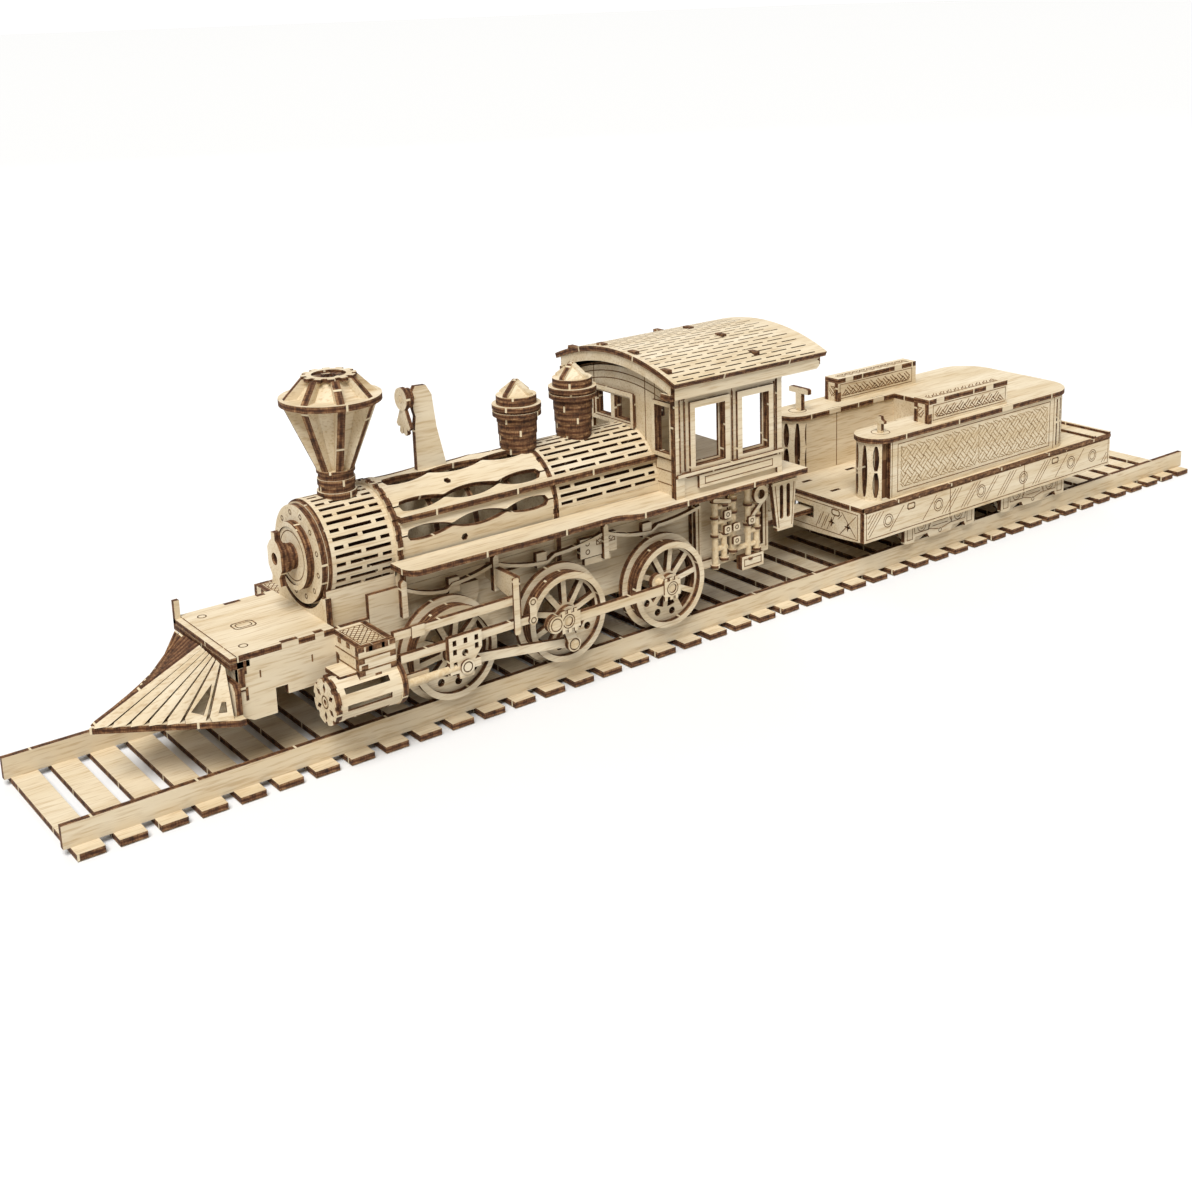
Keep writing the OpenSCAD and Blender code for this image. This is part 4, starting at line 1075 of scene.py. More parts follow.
class KIT_OT_frames(bpy.types.Operator):
    """Stands the frame plates with their springs, brackets and firebox, and hangs the pipes and steps"""

    bl_idname = "kit.frames"
    bl_label = "Frames and firebox"

    def execute(self, context):
        s = Sheets()
        s.plate([box(-161, 22, 6, 46)] + [disc(x, AXLE_Z, 2.06, 20) for x in AXLE_XS], near(17.6))
        s.plate(box(-149, 46, -45, 49), near(17.4, 1.4), 1.4)
        posts = (-151.5, -117.4, -72.5, -28.5)
        for k, x in enumerate(posts[:3]):
            s.plate(np.array([[x - 1, 38], [x + 1, 38], [x + 1, 49.4], [x, 50.4], [x - 1, 49.4]]), near(23.5))
            span = np.linspace(0, 1, 16)
            nxt = posts[k + 1]
            sag = 47.2 - 4.2 * (1 - (2 * span - 1) ** 2) * np.where(span < 0.5, 1, 0.6)
            xs = x + 1 + span * (nxt - x - 2)
            s.plate(np.vstack([np.stack([xs, sag - 1.1], 1), np.stack([xs, sag], 1)[::-1]]), near(22.6))
            s.plate(box(x + 17, 41, x + 21, 46), near(22.0))
        s.plate(box(-82.5, 39.6, -67, 46.4), near(22.0))
        s.plate(box(-80.5, 36.8, -69.5, 39.2), near(21.6, 1.6), 1.6)
        face = near(22.0, 0)
        s.outline(box(-75.6, 43.4, -67.8, 45.8), face, 0.35)
        for x in (-74.2, -71.8, -69.4):
            s.outline([[x - 1.2, 44.6], [x, 45.4], [x + 1.2, 44.6], [x, 43.8]], face, 0.3)
        for z in (41.6, 44.6):
            s.outline(disc(-79.4, z, 0.8, 10), face, 0.3)
        s.outline(disc(-72, 41.4, 0.7, 10), face, 0.3)
        for x in (-127, -104):
            s.plate(np.array([[x - 6, 30], [x + 2, 30], [x + 5, 38], [x + 5, 42], [x - 6, 42]]), near(19.6))
        s.mirrored().finish("side_frames", "locomotive", ["side_frames"])

        s = Sheets()
        s.plate(box(-31, 22, 5, 53), near(19.6))
        s.plate([box(-30.6, 22, 4.6, 53), box(-28, 25, -15, 49), box(-10, 25, 2, 49)], near(21.2, 1.6), 1.6)
        s.lines([[[x, 24], [x, 51]] for x in (-29.3, -12.5, 3.4)], near(21.2, 0), 0.5)
        s.mirrored()
        for x in (-30, 3):
            s.plate(box(-17.4, 22, 17.4, 53), to_back(x))
        s.finish("firebox", "locomotive", ["firebox"])

        s = Sheets()
        pipes = ((-25.4, 23, 50), (-21.2, 25, 48), (-17.0, 27, 49), (-9.6, 22.4, 52.6), (-5.4, 25, 44.4))
        for x, z0, z1 in pipes:
            s.dowel((x, -25.6, z0), Z, 1.15, z1 - z0)
            for z in (z0 + 0.6, z0 * 0.55 + z1 * 0.45, z0 * 0.3 + z1 * 0.7, z1 - 2.0):
                s.plate(disc(x, -25.6, 1.75, 20), lying(z), 1.1)
        for z, xa, xb in ((46.0, -26.4, -16), (40.4, -26.4, -16), (35.0, -26.4, -16), (30.4, -26.4, -20),
                          (43.0, -10.6, -4.4), (33.6, -10.6, -4.4), (28.4, -18, -4.4)):
            s.dowel((xa, -25.6, z), X, 1.0, xb - xa)
        for x, z in ((-21.2, 37.6), (-17.0, 37.6), (-17.0, 32.4), (-21.2, 43.2), (-9.6, 38.4)):
            s.plate(rounded(x - 1.6, z - 1.4, x + 1.6, z + 1.4, 0.5, 3), near(28.0, 1.2), 1.2)
            s.outline(disc(x, z, 0.7, 10), near(28.0, 0), 0.3)
        s.plate([disc(-5.4, 47.4, 3.4, 24), disc(-5.4, 47.4, 1.8, 16)], near(28.4, 1.6), 1.6)
        s.plate(bar((-27, 49.4), (-20, 47.8), 1.4), near(27.6, 1.2), 1.2)
        s.plate(bar((-10.4, 38), (-2, 46), 1.4), near(27.4, 1.2), 1.2)
        s.plate(box(-13.8, 19.8, -3.2, 24.8), near(27.0, 3), 3)
        s.outline(box(-12.6, 21, -4.4, 23.6), near(27, 0), 0.35)
        s.mirrored().finish("injectors", "locomotive", ["injectors"], "burnt_edge")

        s = Sheets()
        hanger = np.array([[2, 31.6], [9.8, 31.6], [11.8, BOARD_Z], [-1, BOARD_Z]])
        s.plate([hanger, rounded(3.2, 36, 5.0, 49, 0.8, 3), rounded(6.6, 36, 8.4, 49, 0.8, 3)], near(29))
        s.lines([[[2.8, 33], [0.6, 52]], [[9.2, 33], [10.6, 52]]], near(29, 0), 0.35)
        s.plate(box(-0.9, 49.4, 11.6, 50.6), near(29.6, 0.6), 0.6)
        s.mirrored().finish("cab_steps", "locomotive", ["cab_steps"])
        s = Sheets()
        s.plate([bar((5.5, 0), (50, 0), 8, 4.2), disc(50, 0, 1.56, 20)], lying(23))
        s.finish("drawbar", "locomotive", ["drawbar"])
        return {"FINISHED"}


def under_roof(y, drop=PLY):
    """Height of the roof's underside at y: the crown's circle of radius ROOF_R less the sheet."""
    return ROOF_TOP - ROOF_R + np.sqrt((ROOF_R - drop) ** 2 - y**2)


class KIT_OT_cab(bpy.types.Operator):
    """Builds the cab's walls with their framed windows, and bends the slit roof over them"""

    bl_idname = "kit.cab"
    bl_label = "Cab"

    def execute(self, context):
        s = Sheets()
        ys = np.linspace(28, -28, 15)
        wall = np.vstack([[[-28, FLOOR_Z], [28, FLOOR_Z]], np.stack([ys, under_roof(ys, 2.2)], 1)])
        panes = [box(a, 70, b, 86.8) for a, b in ((-26.4, -18.4), (18.4, 26.4))]
        upper = [box(a, 77.6, b, 86) for a, b in ((-14.8, -6.2), (-4.2, 5.2))]
        s.plate([wall] + panes + upper, to_front(-45))
        front = to_front(-46.2, 1.2)
        grow = 1.4
        for a, b, z0, z1 in ((-26.4, -18.4, 70, 86.8), (18.4, 26.4, 70, 86.8)):
            s.plate([box(a - grow, z0 - grow, b + grow, z1 + grow), box(a, z0, b, z1)], front, 1.2)
        s.plate([box(-16.2, 76.2, 6.6, 87.4)] + upper, front, 1.2)
        s.plate([box(-17.0, 75.6, 7.4, 88.4), box(-15.6, 77.0, 6.0, 86.8)], to_front(-47.0, 0.8), 0.8)
        face = to_front(-45, 0)
        s.lines([[[u, 62], [u, under_roof(u, 7)]] for u in (-17.4, 12.0, 17.4)], face, 0.4)
        s.lines([[[-27.6, z], [27.6, z]] for z in (58.6, 63.4, 67.6)], face, 0.4)
        for drop in (7.0, 9.6, 12.2):
            arc_ys = np.linspace(-27.5, 27.5, 21)
            s.lines(chain(np.stack([arc_ys, under_roof(arc_ys, drop)], 1)), face, 0.35)
        s.finish("cab_front", "locomotive", ["cab_front"])

        s = Sheets()
        top = float(under_roof(30.0, 2.2))
        windows = ((-38.4, -24.6), (-16.6, -3.8))
        s.plate([box(-47, FLOOR_Z, 2, top)] + [box(a, 65.4, b, 86.2) for a, b in windows], near(30))
        for a, b in windows:
            s.plate([box(a - 2.2, 63.6, b + 2.2, 88.4), box(a, 65.4, b, 86.2)], near(31, 1), 1)
            s.plate([box(a - 0.9, 64.5, b + 0.9, 87.1), box(a + 0.6, 66, b - 0.6, 85.6)], near(27.9, 1.0), 1.0)
        s.plate(box(-47.2, 62.8, 2.4, 63.9), near(32, 2), 2)
        # The burnt-brown strip just under the belt ledge is painted shadow, where the ledge shades the wall
        s.plate(box(-42.4, 61.9, 1.2, 62.7), near(31.3, 1.3), 1.3, face=EDGE)
        s.plate(box(-47.2, 90.2, 2.4, 91.8), near(31.2, 1.2), 1.2)
        s.plate([box(-37.0, 57.2, 0.2, 62.0)], near(31.2, 1.2), 1.2)
        s.outline(box(-34.4, 58.4, -2.4, 60.8), near(31.2, 0), 0.35)
        s.lines([[[-35.8, 62.2], [0.4, 62.2]]], near(31.2, 0), 0.5)
        s.plate(box(-47.4, 63.6, -44.8, 93.2), near(31, 1), 1)
        s.plate(box(-47.4, FLOOR_Z, -43.6, 62.4), near(31, 1), 1)
        s.plate(box(0.2, FLOOR_Z, 2.4, top - 4), near(31, 1), 1)
        for x in (-42.9, -21.0, -0.9):
            s.plate(box(x, 64.4, x + 0.6, 89), near(30.4, 0.4), 0.4, face=EDGE)
        s.plate(box(-45.8, 64.4, -45.3, 92.4), near(31.3, 0.4), 0.4, face=EDGE)
        s.lines([[[-42.6, 89], [-42.6, 90]], [[-20.6, 64], [-20.6, 89.6]]], near(30, 0), 0.4)
        s.plate(box(-50, -31.6, -47.2, -26.6), lying(90.4), 2.2)
        s.finish("cab_side_near", "locomotive", ["cab_side_near"])
        s.only_far().finish("cab_side_far", "locomotive", ["cab_side_far"])

        s = Sheets()
        length, rows, pitch = 72.0, 28, 2.46
        span = rows * pitch
        first = tuple((2.0 + 9.6 * k, 9.4 + 9.6 * k) for k in range(7))
        second = tuple((6.8 + 9.6 * k, 14.2 + 9.6 * k) for k in range(6)) + ((2.0, 4.6),)
        us, vs, solid = dashes(length, rows, pitch, 0.56, (first, second), -span / 2)
        s.slit_sheet(us - 50, vs, solid, around(ROOF_TOP - ROOF_R, ROOF_R - 1.9), 1.9)
        for side in (-1, 1):
            eave = np.array([[-48.6, 90.8], [18.5, 90.8], [19.8, 91.8], [19.8, 93.4], [18.6, 94.2],
                             [20.6, 95.1], [-48.6, 95.1]])
            place = near(32.6, 1.6) if side < 0 else plane((0, 32.6, 0), X, Z)
            s.plate(eave, place, 1.6)
        for x in (-49.4, -45, 19.6):
            ys = np.linspace(31.4, -31.4, 17)
            low = {-49.4: 3.4, -45: 5.6}.get(x, 3.8)
            arch = np.vstack([np.stack([ys, under_roof(ys, 2.0)], 1),
                              np.stack([ys, under_roof(ys, 2.0 + low)], 1)[::-1]])
            s.plate(arch, to_front(x, 1.8), 1.8)
        for x in (-47.2, -6.8):
            for y in (-26.5, -9.0, 9.0, 26.5):
                s.plate(box(x - 1.1, y - 1.9, x + 1.1, y + 1.9), lying(under_roof(abs(y), 0) - 1.2), 1.9,
                        edge=EDGE, face=EDGE)
        s.finish("cab_roof", "locomotive", ["cab_roof"])
        return {"FINISHED"}


def nose(s, cx, y_mid, r):
    """A tank arm's round nose: a half turn of slit sheet whose slits are long lenses, wider in the middle
    of each, from the outer wall round to the inner wall."""
    z0, z1 = TENDER_Z, TANK_TOP
    height = z1 - z0
    columns = 7
    pitch = np.pi * r / columns
    us = np.concatenate([[z0], np.linspace(z0 + 1.2, z0 + height / 2 - 0.35, 9),
                         np.linspace(z0 + height / 2 + 0.35, z1 - 1.2, 9), [z1]])
    t = (us - z0) / height
    low = np.abs(np.sin(2 * np.pi * np.clip((t - 0.05) / 0.9, 0, 1))) ** 0.7
    tall = np.abs(np.sin(np.pi * np.clip((t - 0.05) / 0.9, 0, 1))) ** 0.7
    start = np.pi / 2 * r
    vs = [np.full(len(us), start)]
    solid_rows = []
    middle = (us[:-1] + us[1:]) / 2
    body = (middle > z0 + 1.2) & (middle < z1 - 1.2)
    bridge = np.abs(middle - (z0 + z1) / 2) < 0.34
    for k in range(columns):
        c = start + (k + 0.5) * pitch
        half = 0.3 + 0.62 * (low if k % 2 == 0 else tall)
        vs += [c - half, c + half]
        gap = body & ~bridge if k % 2 == 0 else body
        solid_rows += [np.ones(len(middle), bool), ~gap]
    vs.append(np.full(len(us), start + columns * pitch))
    solid_rows.append(np.ones(len(middle), bool))
    s.slit_sheet(us, np.stack(vs, 1), np.stack(solid_rows, 1), upright(cx, y_mid, r - 1.9), 1.9)


def patterned(s, place, x0, z0, x1, z1, rings=(), slots=()):
    """Scored trim of a valance: a border, slanting hatch in groups, rings and small slots."""
    s.outline(box(x0 + 1.2, z0 + 1.2, x1 - 1.2, z1 - 1.2), place, 0.3)
    lines = hatch(x0 + 2.2, z0 + 2.2, x1 - 2.2, z1 - 2.2, 1.9, 1.1)
    mid = lines.mean(1)[:, 0]
    keep = np.sin(mid * 0.55) > -0.25
    for c in tuple(rings) + tuple(slots):
        keep &= np.abs(mid - c) > 3.4
    s.lines(lines[keep], place, 0.26)
    for c in rings:
        for r in (2.6, 1.7):
            s.outline(disc(c, (z0 + z1) / 2, r, 18), place, 0.28)
    for c in slots:
        z = z1 - 3.4
        s.outline(rounded(c - 2, z - 1.1, c + 2, z + 1.1, 0.5, 2), place, 0.5)


class KIT_OT_tender(bpy.types.Operator):
    """Builds the tender's deck, valances, tank and toolboxes"""

    bl_idname = "kit.tender"
    bl_label = "Tender"

    def execute(self, context):
        s = Sheets()
        slots = [box(x, y - 0.9, x + 5, y + 0.9) for x in (51, 76) for y in (-8, 8)]
        s.plate([box(43.5, -32.9, 198.5, 32.9)] + slots, lying(TENDER_Z - 2))
        s.finish("tender_deck", "tender", ["tender_deck"])

        s = Sheets()
        z0, z1 = 17.6, 29.4
        s.plate(box(43.6, z0, 198.4, z1), near(33))
        patterned(s, near(33, 0), 43.6, z0, 198.4, z1 + 1.2, (57, 86, 112, 139, 171, 186), (70, 160))
        s.lines([[[x, z0 + 0.6], [x, z1]] for x in (93, 139.5)], near(33, 0), 0.35)
        s.plate(box(43.5, 30.2, 198.5, 31.5), near(33.3, 1.2), 1.2, face=EDGE)
        s.mirrored()
        ys = np.linspace(-31, 31, 17)
        low = z0 - 1.6 * (1 - (ys / 31) ** 2)
        apron = np.vstack([np.stack([ys, low], 1), [[31, z1], [-31, z1]]])
        stars = []
        for y in (-24.4, -15.8, 15.8, 24.4):
            turn = np.radians(np.arange(8) * 45)
            reach = np.where(np.arange(8) % 2 == 0, 1.9, 0.7)
            stars.append(np.stack([y + reach * np.cos(turn), 22.2 + reach * np.sin(turn)], 1))
        s.plate([apron] + stars + [box(-6, 21.6, 6, 26.4)], to_front(43.5))
        front = to_front(43.5, 0)
        s.outline(box(-29.6, z0 + 0.6, 29.6, z1 - 1), front, 0.3)
        for side in (-1, 1):
            for k in range(6):
                c, z = side * (7.4 + 1.5 * k), 18.8 + (k % 2) * 1.2
                s.lines([[[c, z], [c + side * 2.6, z + 5.4]]], front, 0.3)
            s.outline(rounded(side * 18 - 2.0, 25.6, side * 18 + 2.0, 27.8, 0.6, 2), front, 0.5)
            s.lines([[[side * 28.6, 19.0], [side * 21.4, 27.6]], [[side * 28.6, 27.4], [side * 20.4, 18.6]],
                     [[side * 19.6, 24.6], [side * 21.2, 26.4]]], front, 0.3)
        s.plate(apron, to_back(196.5))
        s.plate(box(186.5, -33.2, 188.0, 33.2), lying(31.4), 1.2)
        s.plate(box(196.9, -33.2, 198.4, 33.2), lying(31.4), 1.2)
        s.finish("tender_valances", "tender", ["tender_valances"])

        s = Sheets()
        z0, z1 = TENDER_Z, TANK_TOP
        s.plate(box(60.5, z0, 112, z1), near(30.6))
        s.plate(box(-112, z0, -60.5, z1), plane((0, -17.2, 0), -X, Z))
        s.lines([[[-78, z0 + 0.5], [-78, z1]]], plane((0, -15.2, 0), -X, Z), 0.4)
        nose(s, ARM_X, -ARM_Y, ARM_R)
        side = near(30.6, 0)
        s.lines([[[61.4, z0 + 0.6], [61.4, z1 - 0.4]], [[64.6, z0 + 2.2], [64.6, z1 - 1.6]],
                 [[64.6, z0 + 2.2], [112, z0 + 2.2]], [[64.6, z1 - 1.6], [112, z1 - 1.6]]], side, 0.32)
        s.lines(herringbone(66.4, z0 + 3.6, 112, z1 - 3.0, 5.2), side, 0.34, WEAVE)
        # A solid plug, as in the smokebox: it keeps light from showing through the slits, and its burnt-brown rim
        # seen through them is painted shade.
        s.plate(disc(ARM_X, -ARM_Y, 5.2, 32), lying(z0), z1 - z0)
        s.mirrored().finish("tank_arms", "tender", ["tank_arms"], "scored_ply")

        s = Sheets()
        s.plate(box(112, z0, 162, z1), near(30.6))
        s.lines([[[158.4, z0 + 2.2], [158.4, z1 - 1.6]], [[112, z0 + 2.2], [158.4, z0 + 2.2]],
                 [[112, z1 - 1.6], [158.4, z1 - 1.6]], [[161.2, z0 + 0.6], [161.2, z1 - 0.4]]],
                near(30.6, 0), 0.32)
        s.lines(herringbone(112.4, z0 + 3.6, 157, z1 - 3.0, 5.2), near(30.6, 0), 0.34, WEAVE)
        r = CORNER_R
        us = np.array([z0, z0 + 1.4, z0 + 11, z0 + 12, z1 - 1.4, z1])
        columns, pitch = 8, np.pi / 2 * r / 8
        centres = (np.arange(columns) + 0.5) * pitch
        vs = np.concatenate([[0], np.stack([centres - 0.4, centres + 0.4], 1).ravel(), [np.pi / 2 * r]])
        solid = np.ones((5, len(vs) - 1), bool)
        solid[1, 1::2] = solid[3, 1::2] = False
        s.slit_sheet(us, vs, solid, upright(CORNER_X, -CORNER_Y, r - 1.9), 1.9)
        s.mirrored()
        s.plate(box(-16.6, z0, 16.6, z1), to_back(174))
        s.plate(box(-28.6, z0, 28.6, z1), to_front(112))
        s.lines(herringbone(-13, z0 + 3.6, 13, z1 - 3.0, 7.0), plane((176, 0, 0), Y, Z), 0.34, WEAVE)
        s.finish("tank_rear", "tender", ["tank_rear"], "scored_ply")

        s = Sheets()
        lip = 0.8
        edge_in = [[112, -14.4]]
        for a, b in ((106, 99), (80, 73)):
            edge_in += [[a, -14.4], [a, -16.2], [b, -16.2], [b, -14.4]]
        outer = [[112, -31.4], [126, -31.4], [126, -29.8], [133, -29.8], [133, -31.4], [162, -31.4]]
        half = np.vstack([edge_in, arc(ARM_X, -ARM_Y, ARM_R + lip, 90, 270, 22), outer,
                          arc(CORNER_X, -CORNER_Y, CORNER_R + lip, -90, 0, 14)])
        top = np.vstack([half, half[::-1] * (1, -1)])
        holes = [disc(64.5, ARM_Y, 1.26, 14), disc(63, -ARM_Y, 1.26, 14)]
        s.plate([top] + holes, lying(TANK_TOP))
        for side in (-1, 1):
            s.outline(disc(63, side * ARM_Y, 3.6, 24), lying(TANK_TOP + 2), 0.3)
            for a, b, y in ((126.1, 132.9, 30.6), (99.1, 105.9, 15.4), (73.1, 79.9, 15.4)):
                s.plate(box(a, side * y - 0.7, b, side * y + 0.7), lying(TANK_TOP + 0.05), 1.9, edge=FACE)
        s.finish("tank_top", "tender", ["tank_top"])

        s = Sheets()
        x0, x1, y0, y1, z0 = 84.5, 132.5, 20.8, 28.4, TANK_TOP + 2
        z1 = z0 + 9.8
        tabs = ((89, 93.5), (119, 123.5))
        inner = plane((0, -y0, 0), -X, Z)
        s.plate(box(x0, z0, x1, z1 - 2), near(y1))
        s.plate(box(x0, z0, x1, z1 - 2), near(y0 + 2))
        for place in (to_front(x0), to_front(x1 - 2)):
            s.plate(box(y0 + 2, z0, y1 - 2, z1 - 2), place)
        s.plate(box(x0, -y1, x1, -y0), lying(z1 - 2))
        outer, front, top = near(y1, 0), to_front(x0, 0), lying(z1)
        for place, a, b in ((outer, x0, x1), (inner, -x1, -x0)):
            s.outline(box(a + 2.6, z0 + 1.2, b - 1.2, z1 - 2.6), place, 0.28)
            s.lines(herringbone(a + 4, z0 + 2.2, b - 2.4, z1 - 3.6, 4.4), place, 0.4)
        fingers(s, inner, -x0 - 0.9, z0, z1 - 2, 4.0, 1.8, 0)
        s.lines(herringbone(y0 + 1.8, z0 + 2.2, y1 - 2.6, z1 - 3.6, 4.0), front, 0.36)
        s.lines(herringbone(x0 + 3, -y1 + 2.4, x1 - 3, -y0 - 1.6, 4.4), top, 0.36)
        fingers(s, outer, x0 + 0.9, z0, z1 - 2, 4.0, 1.8, 0)
        corner = (x0 + 0.1, x0 + 0.2)
        s.lines([[[a, z1 - 1], [b, z1 - 1]] for a, b in (corner, *tabs)], outer, 1.96, FACE, caps=False)
        s.lines([[[-b, z1 - 1], [-a, z1 - 1]] for a, b in tabs], inner, 1.96, FACE, caps=False)
        s.mirrored().finish("toolboxes", "tender", ["toolboxes"])

        s = Sheets()
        for x in (91, 150):
            s.dowel((x, 0, 23), Z, 2.0, 6.4)
        s.dowel((50, 0, 21), Z, 1.5, 8.4)
        s.finish("tender_pins", "tender", ["tender_pins"], "dowel")
        return {"FINISHED"}


class KIT_OT_trucks(bpy.types.Operator):
    """Cuts the trucks' scored side frames and their wheels"""

    bl_idname = "kit.trucks"
    bl_label = "Trucks"

    def execute(self, context):
        axle = 16.0
        for name, cx in (("truck_front", 91.0), ("truck_rear", 150.0)):
            s = Sheets()
            frame = np.array([[-21, 10.4], [-19, 9.9], [-15.5, 9.9], [-14.5, 12], [-7.6, 12], [-6.4, 10],
                              [6.4, 10], [7.6, 12], [14.5, 12], [15.5, 9.9], [19, 9.9], [21, 10.4], [21, 20],
                              [14, 20], [12.6, 18.6], [9.4, 18.6], [8, 20], [6, 20], [6, 27], [-6, 27],
                              [-6, 20], [-8, 20], [-9.4, 18.6], [-12.6, 18.6], [-14, 20], [-21, 20]])
            bores = [disc(cx + dx, axle, 1.56, 16) for dx in (-11, 11)]
            s.plate([frame + (cx, 0)] + bores, near(29.8, 1.8), 1.8)
            face = near(29.8, 0)
            box_cover = np.array([[-4, 13.4], [4, 13.4], [4.8, 18.4], [-4.8, 18.4]])
            for side in (-1, 1):
                s.outline(disc(cx + side * 11, axle, 2.4, 18), face, 0.3)
                s.outline(box_cover + (cx + side * 11, 0), face, 0.28)
                brace = np.array([[side * 4.2, 18.8], [side * 7, 13.6], [side * 1.2, 12.4]])
                s.lines(chain(brace + (cx, 0)), face, 0.3)
                end = np.array([[16.4, 11.4], [19.4, 11.4], [19.4, 18.6], [16.4, 18.6]]) * (side, 1)
                s.outline(end + (cx, 0), face, 0.28)
            for z in (14.2, 15.8, 17.4):
                s.lines([[[cx - 4.4, z], [cx + 4.4, z]]], face, 0.28)
            s.outline(disc(cx, 11.6, 0.8, 10), face, 0.28)
            s.mirrored()
            s.plate([box(cx - 6, -28, cx + 6, 28), disc(cx, 0, 2.06, 20)], lying(25))
            s.finish(name, name, [name])
        for k, x in enumerate((80.0, 102.0, 139.0, 161.0), 1):
            s = Sheets()
            s.plate([disc(x, axle, 8.3, 40)], near(24.2, 1.7), 1.7)
            sectors = []
            for j in range(6):
                a, b = 60 * j, 60 * (j + 1)
                sectors.append(np.vstack([arc(x, axle, 5.4, a + 9, b - 9, 5),
                                          arc(x, axle, 2.8, b - 18, a + 18, 3)]))
            s.plate([disc(x, axle, 6.95, 40)] + sectors, near(27.2, 1.5), 1.5)
            s.plate([disc(x, axle, 6.9, 40), disc(x, axle, 5.6, 32)], near(25.7, 1.5), 1.5)
            s.mirrored()
            s.dowel((x, 29.6, axle), -Y, 1.5, 59.2)
            s.finish(f"tender_axle_{k}", f"tender_axle_{k}", [f"tender_axle_{k}"])
        return {"FINISHED"}


class KIT_OT_handles(bpy.types.Operator):
    """Stands the brake handle and the water valve on the tank"""

    bl_idname = "kit.handles"
    bl_label = "Brake handle and water valve"

    def execute(self, context):
        z = TANK_TOP + 2.1
        s = Sheets()
        tee = np.array([[-1.6, z], [1.6, z], [1.6, z + 7.2], [5.5, z + 7.2], [5.5, z + 9.0], [4.7, z + 9.5],
                        [-4.7, z + 9.5], [-5.5, z + 9.0], [-5.5, z + 7.2], [-1.6, z + 7.2]])
        s.plate(tee + (ARM_Y, 0), to_back(63.5))
        s.dowel((64.5, ARM_Y, TANK_TOP + 0.2), Z, 1.2, 2.6)
        s.finish("brake_handle", "brake_handle", ["brake_handle"])
        s = Sheets()
        tap = np.array([[-1.0, z], [1.0, z], [1.0, z + 3.6], [2.4, z + 3.6], [2.4, z + 4.6], [1.0, z + 5.2],
                        [0.8, z + 6.4], [-0.8, z + 6.4], [-1.0, z + 5.2], [-2.4, z + 4.6], [-2.4, z + 3.6], [-1, z + 3.6]])
        s.plate(tap + (-ARM_Y, 0), to_back(62.2), 1.6)
        s.dowel((63, -ARM_Y, TANK_TOP + 0.2), Z, 1.2, 2.6)
        s.finish("water_valve", "water_valve", ["water_valve"])
        return {"FINISHED"}


class KIT_OT_stage(bpy.types.Operator):
    """Sets the pale floor, the studio lights and the camera"""

    bl_idname = "kit.stage"
    bl_label = "Stage"

    def execute(self, context):
        kit = context.scene.locomotive_kit
        scene = context.scene
        mesh = bpy.data.meshes.new("floor")
        reach, height = 30.0, -0.0004
        t = np.linspace(-reach, reach, 2)
        corners = np.stack([np.repeat(t, 2), np.tile(t, 2), np.full(4, height)], 1)
        mesh.from_pydata(corners.tolist(), [], [(0, 2, 3, 1)])
        floor = bpy.data.objects.new("floor", mesh)
        scene.collection.objects.link(floor)
        material = bpy.data.materials.new("studio_paper")
        material.use_nodes = True
        shader = material.node_tree.nodes["Principled BSDF"]
        shader.inputs["Base Color"].default_value = (*kit.paper, 1.0)
        shader.inputs["Roughness"].default_value = 0.9
        mesh.materials.append(material)

        world = bpy.data.worlds.new("studio")
        world.use_nodes = True
        background = world.node_tree.nodes["Background"]
        background.inputs["Color"].default_value = (1.0, 0.985, 0.96, 1.0)
        # The sky is seen brighter than it lights, so that it reads as white behind the model
        seen = add(world.node_tree, "ShaderNodeLightPath").outputs["Is Camera Ray"]
        extra_seen, lit = 1.2, 0.38
        strength = add(world.node_tree, "ShaderNodeMath", {0: seen, 1: extra_seen, 2: lit},
                       operation="MULTIPLY_ADD").outputs[0]
        world.node_tree.links.new(strength, background.inputs["Strength"])
        scene.world = world
        scene.view_settings.view_transform = "Standard"
        scene.view_settings.exposure = -0.25
        for name, kind, place, size, power in (("window", "SUN", (-0.42, -0.40, 0.86), 0.6, 4.6),
                                               ("back", "AREA", (0.6, 1.3, 1.0), 1.2, 8)):
            light = bpy.data.lights.new(name, kind)
            light.energy = power
            if kind == "SUN":
                light.angle = size
            else:
                light.size = size
            lamp = bpy.data.objects.new(name, light)
            lamp.location = place
            lamp.rotation_euler = Vector(place).to_track_quat("Z", "Y").to_euler()
            scene.collection.objects.link(lamp)

        camera = bpy.data.cameras.new("camera")
        camera.sensor_width = 36
        camera.lens = kit.lens
        camera.shift_y = -0.1812
        camera.clip_start, camera.clip_end = 0.01, 100
        eye = bpy.data.objects.new("camera", camera)
        azimuth, elevation, roll = np.radians((36.79, 13.61, -1.87))
        level = np.cos(elevation)
        forward = Vector((np.sin(azimuth) * level, np.cos(azimuth) * level, -np.sin(elevation)))
        eye.rotation_mode = "QUATERNION"
        turn = forward.to_track_quat("-Z", "Y")
        eye.rotation_quaternion = turn @ Quaternion((0, 0, 1), roll)
        eye.location = (-0.3745, -0.4244, 0.2222)
        scene.collection.objects.link(eye)
        scene.camera = eye
        return {"FINISHED"}


# ---------------------------------------------------------------- the add-on


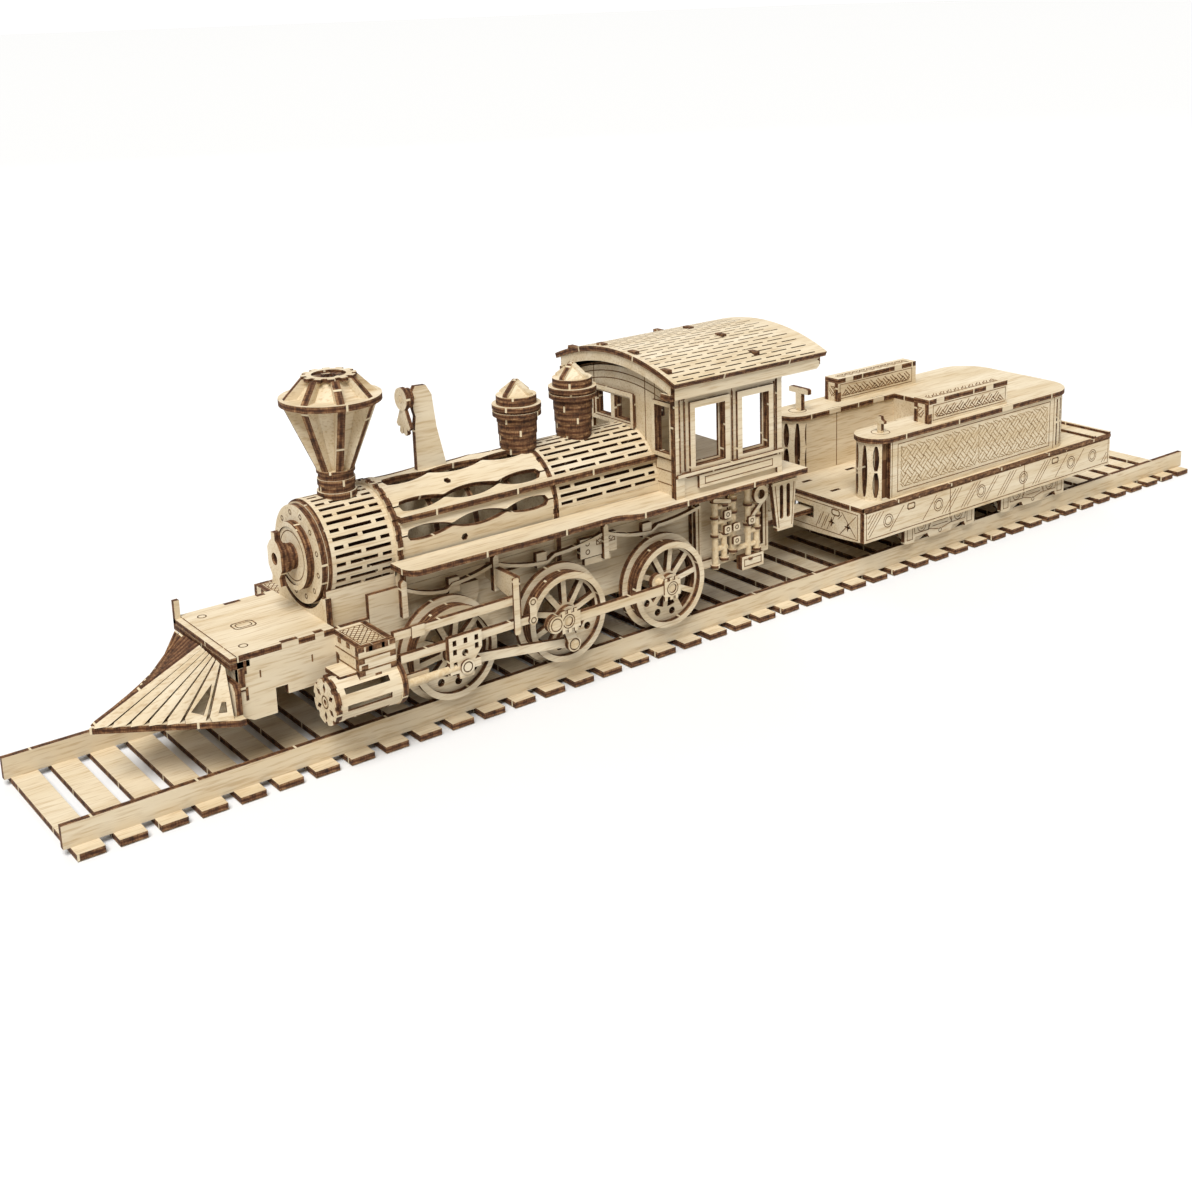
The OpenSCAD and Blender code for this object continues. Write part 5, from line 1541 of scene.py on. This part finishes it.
class LocomotiveKit(bpy.types.PropertyGroup):
    sleepers: bpy.props.IntProperty(name="Sleepers", description="Number of sleepers", default=44, min=20)
    sleeper_pitch: bpy.props.FloatProperty(name="Sleeper pitch", description="Distance between sleepers, in mm",
                                           default=12.0, min=10.0)
    slats: bpy.props.IntProperty(name="Slats", description="Pilot slats on each side", default=5, min=3)
    chimney_fins: bpy.props.IntProperty(name="Chimney fins", description="Fins in each cone", default=8, min=5)
    lens: bpy.props.FloatProperty(name="Lens", description="The camera's focal length, in mm", default=47.08)
    paper: bpy.props.FloatVectorProperty(name="Paper", description="Colour of the floor", subtype="COLOR",
                                         default=(0.77, 0.77, 0.765), min=0.0, max=1.0)


GROUPS = (KIT_OT_track, KIT_OT_pilot, KIT_OT_front_deck, KIT_OT_saddle, KIT_OT_cylinders, KIT_OT_smokebox,
          KIT_OT_boiler, KIT_OT_chimney, KIT_OT_domes, KIT_OT_bell, KIT_OT_boards, KIT_OT_frames, KIT_OT_cab,
          KIT_OT_motion, KIT_OT_running_gear, KIT_OT_rods, KIT_OT_tender, KIT_OT_trucks, KIT_OT_handles,
          KIT_OT_stage)


class KIT_PT_panel(bpy.types.Panel):
    bl_idname = "KIT_PT_panel"
    bl_label = "Locomotive kit"
    bl_space_type = "VIEW_3D"
    bl_region_type = "UI"
    bl_category = "Locomotive Kit"

    def draw(self, context):
        kit = context.scene.locomotive_kit
        for name in ("sleepers", "sleeper_pitch", "slats", "chimney_fins", "lens", "paper"):
            self.layout.prop(kit, name)
        for group in GROUPS:
            self.layout.operator(group.bl_idname)


def register():
    for part in (LocomotiveKit, *GROUPS, KIT_PT_panel):
        bpy.utils.register_class(part)
    bpy.types.Scene.locomotive_kit = bpy.props.PointerProperty(type=LocomotiveKit)


def unregister():
    del bpy.types.Scene.locomotive_kit
    for part in (KIT_PT_panel, *reversed(GROUPS), LocomotiveKit):
        bpy.utils.unregister_class(part)


def main():
    register()
    for group in GROUPS:
        family, action = group.bl_idname.split(".")
        getattr(getattr(bpy.ops, family), action)()
    bpy.context.view_layer.update()


if __name__ == "__main__":
    main()
